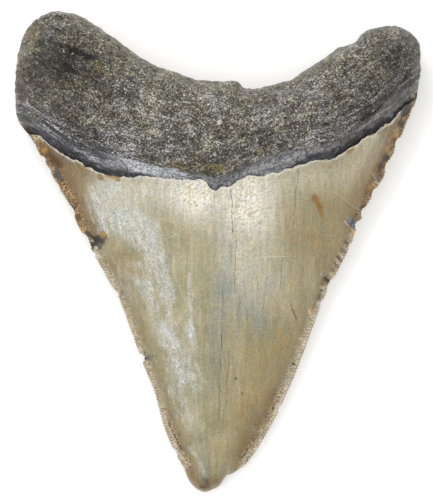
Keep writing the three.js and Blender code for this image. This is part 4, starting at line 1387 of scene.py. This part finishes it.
@dataclass(frozen=True)
class FossilEnameloid:
    """Fossil shark enameloid: hard fluorapatite fibres, grown glassy and stained by the seabed.

    It is satin and granular, with fine fibres along the tooth, hairline cracks and clouds of
    frosty wear that are partly a painted reflection, and it is paler under the band, partly a
    painted highlight, with a painted highlight along the enamel's upper rim. Its thin edges are
    amber where light goes through them, its serrations are cream ribs, partly painted highlights,
    with dark gaps, partly painted shade, and its outermost line is darkened brown as painted
    shade. After the colours come the sizes of its patterns, and how far its lines stand off
    straight, in millimetres.
    """

    beige: str = "#a0936b"
    putty: str = "#b1a98c"
    gold: str = "#9d8240"
    tawny: str = "#94733a"
    grey: str = "#7a8078"
    moss: str = "#8d8a68"
    amber: str = "#6e4a1c"
    russet: str = "#85602a"
    olive: str = "#87754a"
    pale: str = "#f8f4e8"
    frost_and_sheen: str = "#d9dbdb"
    pepper: str = "#5f5b50"
    fleck: str = "#cfa66c"
    crumb: str = "#bba47a"
    rib: str = "#dcd3b8"
    strip: str = "#c8c2ae"
    soil: str = "#3c2f1e"
    bead_gold: str = "#8c6c38"
    gap: str = "#6e5f43"
    lip: str = "#ebe6d8"
    crack: str = "#4b4a44"
    scratch: str = "#ddd8c8"
    cloud: float = 10.0
    mottle: float = 2.0
    hue: float = 2.6
    tint: float = 0.6
    speck: float = 0.42
    fibre: float = 0.8
    streak: float = 2.8
    stroke: float = 1.1
    wrinkle: float = 0.6
    crack_waver: float = 0.34
    scratch_waver: float = 0.12
    ior: float = 1.62
    roughness: float = 0.4

    def make(self) -> bpy.types.Material:
        """Builds the material."""
        finish = Finish("fossil_enameloid")
        add, place = finish.add, finish.place
        along = add("VectorMath MULTIPLY", place, (1, 0.07, 0.4))
        leaning, rising = (
            add("Mapping", place, (0, 0, 0), (0, 0, np.radians(turn)), size, vector_type="TEXTURE")
            for turn, size in ((19.0, (1, 6, 3)), (28.0, (2, 1, 2)))
        )
        cloud, mottle, hues, specks, fibres, streaks, strokes, arcs = (
            add("TexNoise", at, 1 / size, detail, roughness) for at, size, detail, roughness in (
                (place, self.cloud, 5, 0.62), (place, self.mottle, 5, 0.72), (place, self.hue, 4, 0.6),
                (place, self.speck, 2, 0.7), (along, self.fibre, 5, 0.72), (along, self.streak, 3, 0.5),
                (leaning, self.stroke, 4, 0.7), (rising, self.wrinkle, 3, 0.7),
            )
        )
        tints = add("TexNoise", place, 1 / self.tint, 3, 0.7, output="Color")

        share = add("MapRange", add("Math ADD", cloud, streaks), 0.78, 1.22, 0, 1)
        border = add("MapRange", "edge", 6, 1.4, 0, 0.58)
        foil = add("MapRange", "pale", 0.4, 0.85, 0, 0.7)
        # This frosty cover is partly wear and partly a painted reflection.
        worn = finish.total(("frost_and_sheen", 0.65), (strokes, 1), (mottle, 0.6))
        worn = add("MapRange", worn, 0.98, 1.5, 0, 0.8)
        # Of these coats, the pale one is partly a painted highlight under the band, and the frosty one
        # partly a painted reflection.
        colour = finish.coat(
            add("Mix RGBA", share, self.beige, self.putty),
            (self.gold, "warm", mottle, 0.36, 0.62, 0.3), (self.tawny, "tan", mottle, 0.38, 0.58, 0.35),
            (self.moss, 0.4, cloud, 0.56, 0.44), (self.grey, "cool", streaks, 0.36, 0.6, 0.25),
            (self.olive, border, mottle, 0.32, 0.56, 0.4), (self.amber, "amber", mottle, 0.3, 0.56, 0.5),
            (self.russet, "amber", cloud, 0.48, 0.6), (self.soil, "amber", mottle, 0.46, 0.34),
            (self.bead_gold, "amber", specks, 0.54, 0.64), (self.pale, "pale", arcs, 0.34, 0.56, 0.6),
            (self.fleck, "pale", tints, 0.58, 0.66), (self.crumb, foil, arcs, 0.49, 0.36),
            (self.frost_and_sheen, worn, specks, 0.32, 0.56, 0.45), (self.pepper, worn, specks, 0.4, 0.31),
        )
        grains = ((fibres, 0.78, 1.2), (specks, 0.76, 1.23), (mottle, 0.9, 1.1))
        colour = finish.shade(colour, *((grain, 0.28, 0.72, low, high) for grain, low, high in grains))
        tint = add("VectorMath MULTIPLY_ADD", hues, (0.2, 0.06, -0.36), (0.9, 0.97, 1.17))
        colour = add("VectorMath MULTIPLY", colour, tint)

        # The lip coat is a painted highlight along the enamel's upper rim.
        above = add("SeparateXYZ", finish.strata, output="Y")
        above = add("Math ADD", above, add("MapRange", mottle, 0.3, 0.7, -0.3, 0.3))
        lip = add("MapRange", above, -0.62, -0.25, 0, 0.85)
        colour = finish.coat(colour, (self.lip, lip, specks, 0.4, 0.52, 0.15))
        colour = finish.stain_and_painted_light(self.rim(finish, colour, mottle, specks), specks, 0.35)
        cracks = finish.marks(CRACKS, self.crack_waver)
        colour = add("Mix RGBA", cracks, colour, self.crack)
        colour = add("Mix RGBA", finish.marks(SCRATCHES, self.scratch_waver), colour, self.scratch)

        gloss = add("MapRange", specks, 0.3, 0.7, self.roughness + 0.12, self.roughness - 0.08)
        wrinkles = add("Math MULTIPLY", arcs, foil)
        heights = finish.total(
            (fibres, 0.05), (specks, 0.05), (mottle, 0.1), (worn, 0.05), (cracks, -0.08), (wrinkles, 0.3))
        return finish.close(
            heights, Base_Color=colour, Roughness=gloss, IOR=self.ior, Coat_Weight=0.1, Coat_Roughness=0.2)

    def rim(self, finish: Finish, under: Value, mottle: Value, specks: Value) -> Socket:
        """Dresses the cutting edges: ribs where the serrations are whole, gold knobs where they are worn.

        Args:
            finish: the material in the making.
            under: the enamel's colour.
            mottle: the middle noise.
            specks: the fine noise.

        Returns:
            The colour with its rims.
        """
        add = finish.add
        uneven = add("Math ADD", "edge", add("MapRange", mottle, 0.3, 0.7, -0.6, 0.6))
        inner = add("Math MULTIPLY", add("MapRange", uneven, 2.3, 1.4, 0, 0.85), "ribbed")
        colour = finish.coat(under, (self.strip, inner, specks, 0.42, 0.54, 0.15))
        crust = add("Math MULTIPLY", add("MapRange", uneven, 2.8, 1.2, 0, 1.3), "amber", use_clamp=True)
        crumbs = add("MapRange", add("Math ADD", mottle, specks), 0.85, 1.15, 0, 1)
        crumbs = add("ValToRGB", crumbs, stops=(
            (0, self.soil), (0.36, self.amber), (0.56, self.bead_gold), (0.78, self.fleck), (1, self.rib)))
        colour = add("Mix RGBA", crust, colour, crumbs)
        # The ribs' cream is partly a painted highlight on each serration, and the notch darkens the gaps
        # between them, partly as painted shade.
        wave = add("Math COSINE", add("Math MULTIPLY", "serration", 2.0 * np.pi))
        whole = add("MapRange", mottle, 0.4, 0.56, 0.15, 1)
        notch = add("Math MULTIPLY", add("MapRange", wave, -0.3, 0.6, 0, 0.7), whole)
        gold, gap = self.bead_gold, self.gap
        ribs = finish.coat(self.rib, (gold, 0.7, mottle, 0.44, 0.6), (gap, notch, specks, 0.3, 0.5, 0.6))
        knobs = finish.coat(self.amber, (gold, 1, mottle, 0.44, 0.56), (self.rib, 0.7, specks, 0.5, 0.6))
        dressed = add("Mix RGBA", "ribbed", knobs, ribs)
        colour = add("Mix RGBA", add("MapRange", uneven, 1.2, 0.6, 0, 0.95), colour, dressed)
        # The outermost line is darkened as painted shade.
        return add("Mix RGBA", add("MapRange", "edge", 0.3, 0.05, 0, 0.5), colour, gap)


@dataclass(frozen=True)
class Lamellae:
    """Layers that the root splits into beside the enamel: dark gaps with pale, granular crests, partly
    painted highlights.
    """

    black: str = "#17161a"
    slate: str = "#38373b"
    grey: str = "#787678"
    # The crests' pale colour is partly a painted highlight on the layers' ridges.
    crest: str = "#e0dfe2"
    spacing: float = 1.3

    def lay(self, finish: Finish, grain: Value) -> tuple[Socket, Socket]:
        """Gives a noise drawn out along the layers, and their colour, whose crests the grain breaks up."""
        add = finish.add
        drawn_out = add("VectorMath MULTIPLY", finish.strata, (0.16, 0, 1))
        layers = add("TexNoise", drawn_out, 1 / self.spacing, 4, 0.7, inputs={"Distortion": 0.3})
        tone = add("Math ADD", layers, add("MapRange", grain, 0.3, 0.7, -0.14, 0.14))
        return layers, add("ValToRGB", add("MapRange", tone, 0.35, 0.66, 0, 1), stops=(
            (0, self.black), (0.34, self.slate), (0.66, self.grey), (1, self.crest)))


@dataclass(frozen=True)
class Bourlette:
    """The bourlette: the band of smooth, dark, compact dentine between root and enamel.

    It is slate, crazed by fine cracks, with a painted silvery highlight in the middle of the left
    half, and splits into dark layers with pale crests, partly painted highlights, towards the
    corners. It is darkened nearly to black as painted shade in the groove beside the enamel and
    under the root's lip. After the colours come the sizes of its patterns, and how far its lines
    stand off straight, in millimetres.
    """

    slate: str = "#7d7c7e"
    light: str = "#acaba8"
    dark: str = "#45444a"
    silver: str = "#f4f4f6"
    dust: str = "#6e675a"
    black: str = "#37353a"
    mottle: float = 1.5
    speck: float = 0.4
    craze: float = 1.5
    craze_bend: float = 1.6
    line_waver: float = 0.5
    ior: float = 1.58
    roughness: float = 0.3

    def make(self) -> bpy.types.Material:
        """Builds the material."""
        finish = Finish("bourlette_dentine")
        add, place = finish.add, finish.place
        mottle = add("TexNoise", place, 1 / self.mottle, 5, 0.7)
        specks = add("TexNoise", place, 1 / self.speck, 3, 0.75)
        layers, split = Lamellae().lay(finish, specks)
        tone = add("Math ADD", layers, mottle)
        colour = add("ValToRGB", add("MapRange", tone, 0.78, 1.2, 0, 1), stops=(
            (0, self.dark), (0.4, self.slate), (1, self.light)))
        # A painted highlight, silvery, in the middle of the band's left half.
        colour = finish.coat(colour, (self.silver, "silver", tone, 0.84, 1.02, 0.3))
        colour = add("Mix RGBA", "outer", finish.shade(colour, (specks, 0.3, 0.7, 0.58, 1.42)), split)
        colour = finish.coat(colour, (self.dust, "dusty", mottle, 0.36, 0.62, 0.1))
        # deep darkens the band to near black as painted shade: in the groove beside the enamel and, more
        # weakly, under the root's lip; it has less shine there.
        deep = add("Math MAXIMUM", "groove", add("Math MULTIPLY", "under_lip", 0.35))
        deep = add("Math ADD", deep, add("MapRange", mottle, 0.3, 0.7, -0.5, 0.5))
        deep = add("MapRange", deep, 0.15, 0.95, 0, 0.82)
        colour = add("Mix RGBA", deep, colour, self.black)
        bends = add("TexNoise", place, 1 / self.craze_bend, 2, 0.65, output="Color")
        warped = add("VectorMath MULTIPLY_ADD", bends, (self.craze_bend,) * 3, place)
        crazing = add("TexVoronoi", warped, 1 / self.craze, feature="DISTANCE_TO_EDGE")
        crazing = add("MapRange", crazing, 0.08, 0, 0, 0.9)
        crazing = add("Math MULTIPLY", crazing, add("MapRange", mottle, 0.4, 0.5, 0, 1))
        lines = finish.marks((*BAND_CRACKS, *STRIAE), self.line_waver)
        cracks = add("Math MAXIMUM", crazing, lines)
        colour = finish.stain_and_painted_light(add("Mix RGBA", cracks, colour, self.black), specks, 0.3)
        gloss = add("MapRange", tone, 0.75, 1.25, self.roughness + 0.16, self.roughness - 0.04)
        gloss = add("Mix FLOAT", deep, gloss, 0.9)
        shine, glaze = (add("MapRange", deep, 0, 1, *levels) for levels in ((0.5, 0.12), (0.25, 0)))
        heights = finish.total((layers, 0.5), (mottle, 0.2), (specks, 0.1), (cracks, -0.2))
        return finish.close(
            heights, Base_Color=colour, Roughness=gloss, IOR=self.ior, Specular_IOR_Level=shine,
            Coat_Weight=glaze, Coat_Roughness=0.22)


@dataclass(frozen=True)
class FossilRoot:
    """The root: porous osteodentine, turned to dark phosphate rock in the seabed.

    It is a crust of umber and grey grains half a millimetre wide, each with its own tone, black
    in the pores between them and with single grains of tan silt. Creases run along it, darkened
    as painted shade, and its pits, its grooves and patches of its lobes are darkened as painted
    shade too. Beside the band it splits into long dark layers with pale crests, partly painted
    highlights. After the colours come the sizes of its patterns, and how far its lines stand off
    straight, in millimetres.
    """

    black: str = "#15130f"
    umber: str = "#3d382f"
    grey: str = "#625e54"
    light: str = "#95928a"
    ash: str = "#d6d4cd"
    silt: str = "#a39260"
    rust: str = "#4c3420"
    glint: str = "#dccfa6"
    grain: float = 0.5
    grain_bend: float = 0.8
    grain_shift: float = 0.6
    fine: float = 0.42
    clot: float = 1.0
    crease: float = 3.4
    patch: float = 4.5
    broad: float = 6.0
    line_waver: float = 0.5
    ior: float = 1.56
    roughness: float = 0.46

    def make(self) -> bpy.types.Material:
        """Builds the material."""
        finish = Finish("fossil_root")
        add, place = finish.add, finish.place
        bends = add("TexNoise", place, 1 / self.grain_bend, 2, 0.65, output="Color")
        warped = add("VectorMath MULTIPLY_ADD", bends, (self.grain_shift,) * 3, place)
        cells = add("TexVoronoi", warped, 1 / self.grain, output="Color")
        between = add("TexVoronoi", warped, 1 / self.grain, feature="DISTANCE_TO_EDGE")
        red, green, blue = (add("SeparateColor", cells, output=name) for name in ("Red", "Green", "Blue"))
        fine, broad, patches = (
            add("TexNoise", place, 1 / size, detail, roughness)
            for size, detail, roughness in (
                (self.fine, 1, 0.6), (self.broad, 2, 0.65), (self.patch, 4, 0.6))
        )
        clots, creases = (
            add("TexNoise", add("VectorMath MULTIPLY", finish.strata, (run, 0, 1)), 1 / size, 4, roughness,
                inputs={"Distortion": bend})
            for run, size, roughness, bend in ((0.5, self.clot, 0.75, 0.4), (0.3, self.crease, 0.55, 0.6))
        )
        layers, split = Lamellae().lay(finish, fine)

        # The height reading darkens the pits, and the gloom darkens grooves and patches of the lobes, as
        # painted shade.
        tone = finish.total(
            (red, 0.3), (fine, 1.26), (clots, 0.9), (broad, 0.45), (layers, 0.65), ("height", 0.3),
            ("ashen", 0.12), ("gloom", -0.42))
        colour = add("ValToRGB", add("MapRange", tone, 1.45, 2.41, 0, 1), stops=(
            (0, self.black), (0.28, self.umber), (0.52, self.grey), (0.76, self.light), (1, self.ash)))
        colour = finish.shade(colour, (between, 0, 0.14, 0.46, 1), (fine, 0.34, 0.66, 0.84, 1.18))
        tint = add("VectorMath MULTIPLY_ADD", patches, (0.36, 0.1, -0.6), (0.83, 0.955, 1.27))
        colour = add("VectorMath MULTIPLY", colour, tint)
        warm, cold = add("MapRange", green, 0, 1, 1, 1.04), add("MapRange", blue, 0, 1, 0.94, 1.04)
        colour = add("VectorMath MULTIPLY", colour, add("CombineXYZ", warm, 1, cold))
        silty = add("Math MULTIPLY_ADD", add("Math MULTIPLY", "silty", clots), 0.9, blue)
        colour = finish.coat(
            colour,
            (self.rust, "rusty", clots, 0.62, 0.45, 0.2),
            (self.silt, add("MapRange", silty, 0.95, 1.05, 0, 0.8), fine, 0.38, 0.56, 0.2),
            (self.glint, add("MapRange", blue, 0.987, 0.993, 0, 0.9), fine, 0.44, 0.56),
            (split, "lamellar", clots, 0.66, 0.44, 0.3),
        )
        # The creases and striae are dark lines along the root's folds and grooves, painted shade.
        crease = add("Math ABSOLUTE", add("Math SUBTRACT", creases, 0.5))
        crease = add("MapRange", crease, 0.014, 0, 0, 0.75)
        crease = add("Math MULTIPLY", crease, add("MapRange", clots, 0.42, 0.56, 0, 1))
        crease = add("Math MAXIMUM", crease, finish.marks(STRIAE, self.line_waver))
        colour = finish.stain_and_painted_light(add("Mix RGBA", crease, colour, self.black), fine, 0.55)

        gloss = add("MapRange", green, 0, 1, self.roughness + 0.2, self.roughness - 0.16)
        relief = add("Mix FLOAT", "lamellar", clots, layers)
        heights = finish.total((fine, 0.3), (red, 0.14), (relief, 0.9), (crease, -0.3))
        return finish.close(heights, Base_Color=colour, Roughness=gloss, IOR=self.ior)


@dataclass
class FossilTooth:
    """The whole tooth as one mesh with three finishes: enameloid, bourlette and root."""

    name: str = "fossil_tooth"
    sharp_angle: float = 62.0
    uv_margin: float = 0.01

    def build(self) -> bpy.types.Object:
        """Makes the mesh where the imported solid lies, with its attributes, UV map and finishes."""
        places, readings, faces = ToothMesh().build()
        low, high = (np.array(corner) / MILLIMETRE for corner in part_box("tooth"))
        middle = (places.max(axis=0) + places.min(axis=0)) / 2.0
        shift = np.array([*((low + high) / 2.0 - middle)[:2], low[2] - places[:, 2].min()])
        places = places + shift
        mesh = bpy.data.meshes.new(self.name)
        mesh.from_pydata((places * MILLIMETRE).tolist(), [], [f for face, _ in faces for f in face.tolist()])
        finish = np.concatenate([kind for _, kind in faces]).astype(np.int32)
        mesh.polygons.foreach_set("material_index", finish)
        for name, values in readings.items():
            self.write(mesh, name, values)
        self.unwrap(mesh, places)
        mesh.shade_smooth()
        mesh.set_sharp_from_angle(angle=np.radians(self.sharp_angle))
        for made in (FossilEnameloid().make(), Bourlette().make(), FossilRoot().make()):
            mesh.materials.append(made)
        piece = bpy.data.objects.new(self.name, mesh)
        bpy.context.scene.collection.objects.link(piece)
        return piece

    def write(self, mesh: bpy.types.Mesh, name: str, values: Array) -> None:
        """Writes an array to a vertex attribute: a number, a vector or a colour by its width."""
        kinds = {1: ("FLOAT", "value"), 3: ("FLOAT_VECTOR", "vector"), 4: ("FLOAT_COLOR", "color")}
        kind, field = kinds[1 if values.ndim == 1 else values.shape[1]]
        attribute = mesh.attributes.new(name, kind, "POINT")
        attribute.data.foreach_set(field, values.astype(np.float32).ravel())

    def unwrap(self, mesh: bpy.types.Mesh, places: Array) -> None:
        """Lays the two faces side by side in the UV map, each seen from above, by which way it faces."""
        loops = np.empty(len(mesh.loops), dtype=np.int32)
        sizes = np.empty(len(mesh.polygons), dtype=np.int32)
        normals = np.empty(len(mesh.polygons) * 3, dtype=np.float32)
        mesh.loops.foreach_get("vertex_index", loops)
        mesh.polygons.foreach_get("loop_total", sizes)
        mesh.polygons.foreach_get("normal", normals)
        labial = np.repeat(normals.reshape(-1, 3)[:, 2] < 0, sizes)
        low, high = places.min(axis=0)[:2], places.max(axis=0)[:2]
        uv = mix(self.uv_margin, 1.0 - self.uv_margin, (places[loops, :2] - low) / (high - low))
        uv[:, 0] = (uv[:, 0] + labial) / 2.0
        layer = mesh.uv_layers.new(name="OFBake")
        layer.data.foreach_set("uv", uv.astype(np.float32).ravel())


@dataclass(frozen=True)
class Studio:
    """A pale floor, soft lights and a camera straight above the tooth.

    Attributes:
        view_centre: the point of the outline's level at the middle of the picture.
        view_level: height of the outline's level above the floor.
        view_length: length of that level which the picture's long side shows.
        camera_height: height of the camera above that level.
        lights: each light's name, place and side in metres, power in watts and tint.
    """

    view_centre: Point = (-0.35, 0.6)
    view_level: float = 8.0
    view_length: float = 125.0
    camera_height: float = 900.0
    sensor: float = 36.0
    floor_half: float = 3.0
    floor_colour: str = "#fafafa"
    floor_glow: float = 0.25
    world_colour: str = "#f2f5f8"
    world_strength: float = 0.5
    card_roughness: float = 0.9
    lights: tuple[tuple[str, tuple[float, float, float], float, float, str], ...] = (
        ("window", (-0.8, -0.1, 0.8), 0.9, 3.6, "#f4f8ff"),
        ("key", (-0.4, 0.8, 0.8), 0.5, 4.6, "#fffdf8"),
        ("fill", (0.9, -0.3, 0.7), 0.9, 2.2, "#fffaf2"),
        ("ceiling", (0.1, 0.1, 1.3), 1.0, 4.0, "#fffcf6"),
    )

    def build(self) -> None:
        """Makes the floor, the world, the lights and the camera."""
        scene = bpy.context.scene
        scene.view_settings.view_transform = "Standard"
        self.lay_floor()
        world = bpy.data.worlds.new("studio")
        world.use_nodes = True
        background = world.node_tree.nodes["Background"].inputs
        background["Color"].default_value = linear(self.world_colour)
        background["Strength"].default_value = self.world_strength
        scene.world = world
        for light in self.lights:
            self.hang_light(*light)
        camera = bpy.data.objects.new("camera", bpy.data.cameras.new("camera"))
        camera.data.sensor_width = self.sensor
        camera.data.lens = self.sensor * self.camera_height / self.view_length
        place = np.array([*self.view_centre, self.view_level + self.camera_height])
        camera.location = place * MILLIMETRE
        scene.collection.objects.link(camera)
        scene.camera = camera

    def lay_floor(self) -> None:
        """Makes a square pale floor at height 0."""
        half = self.floor_half
        mesh = bpy.data.meshes.new("floor")
        corners = [(-half, -half, 0.0), (half, -half, 0.0), (half, half, 0.0), (-half, half, 0.0)]
        mesh.from_pydata(corners, [], [(0, 1, 2, 3)])
        material = bpy.data.materials.new("matt_card")
        material.use_nodes = True
        shader = material.node_tree.nodes["Principled BSDF"].inputs
        for name in ("Base Color", "Emission Color"):
            shader[name].default_value = linear(self.floor_colour)
        shader["Roughness"].default_value = self.card_roughness
        shader["Emission Strength"].default_value = self.floor_glow
        mesh.materials.append(material)
        floor = bpy.data.objects.new("floor", mesh)
        bpy.context.scene.collection.objects.link(floor)

    def hang_light(
        self, name: str, place: tuple[float, float, float], side: float, power: float, tint: str,
    ) -> None:
        """Hangs a square soft light that faces the tooth.

        Args:
            name: the light's name.
            place: where it hangs, in metres.
            side: length of its side in metres.
            power: its power in watts.
            tint: its colour.
        """
        data = bpy.data.lights.new(name, "AREA")
        data.size, data.energy, data.color = side, power, linear(tint)[:3]
        light = bpy.data.objects.new(name, data)
        light.location = place
        toward = -light.location.normalized()
        light.rotation_euler = toward.to_track_quat("-Z", "Y").to_euler()
        bpy.context.scene.collection.objects.link(light)


def main() -> None:
    """Builds the tooth and the studio, and reports the piece."""
    logging.basicConfig(level=logging.INFO, format="%(name)s: %(message)s")
    piece = FossilTooth().build()
    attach(piece, "root")
    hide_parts("tooth")
    triangles = sum(len(polygon.vertices) - 2 for polygon in piece.data.polygons)
    LOG.info("%s: %d vertices, %d triangles", piece.name, len(piece.data.vertices), triangles)
    Studio().build()


if __name__ == "__main__":
    main()
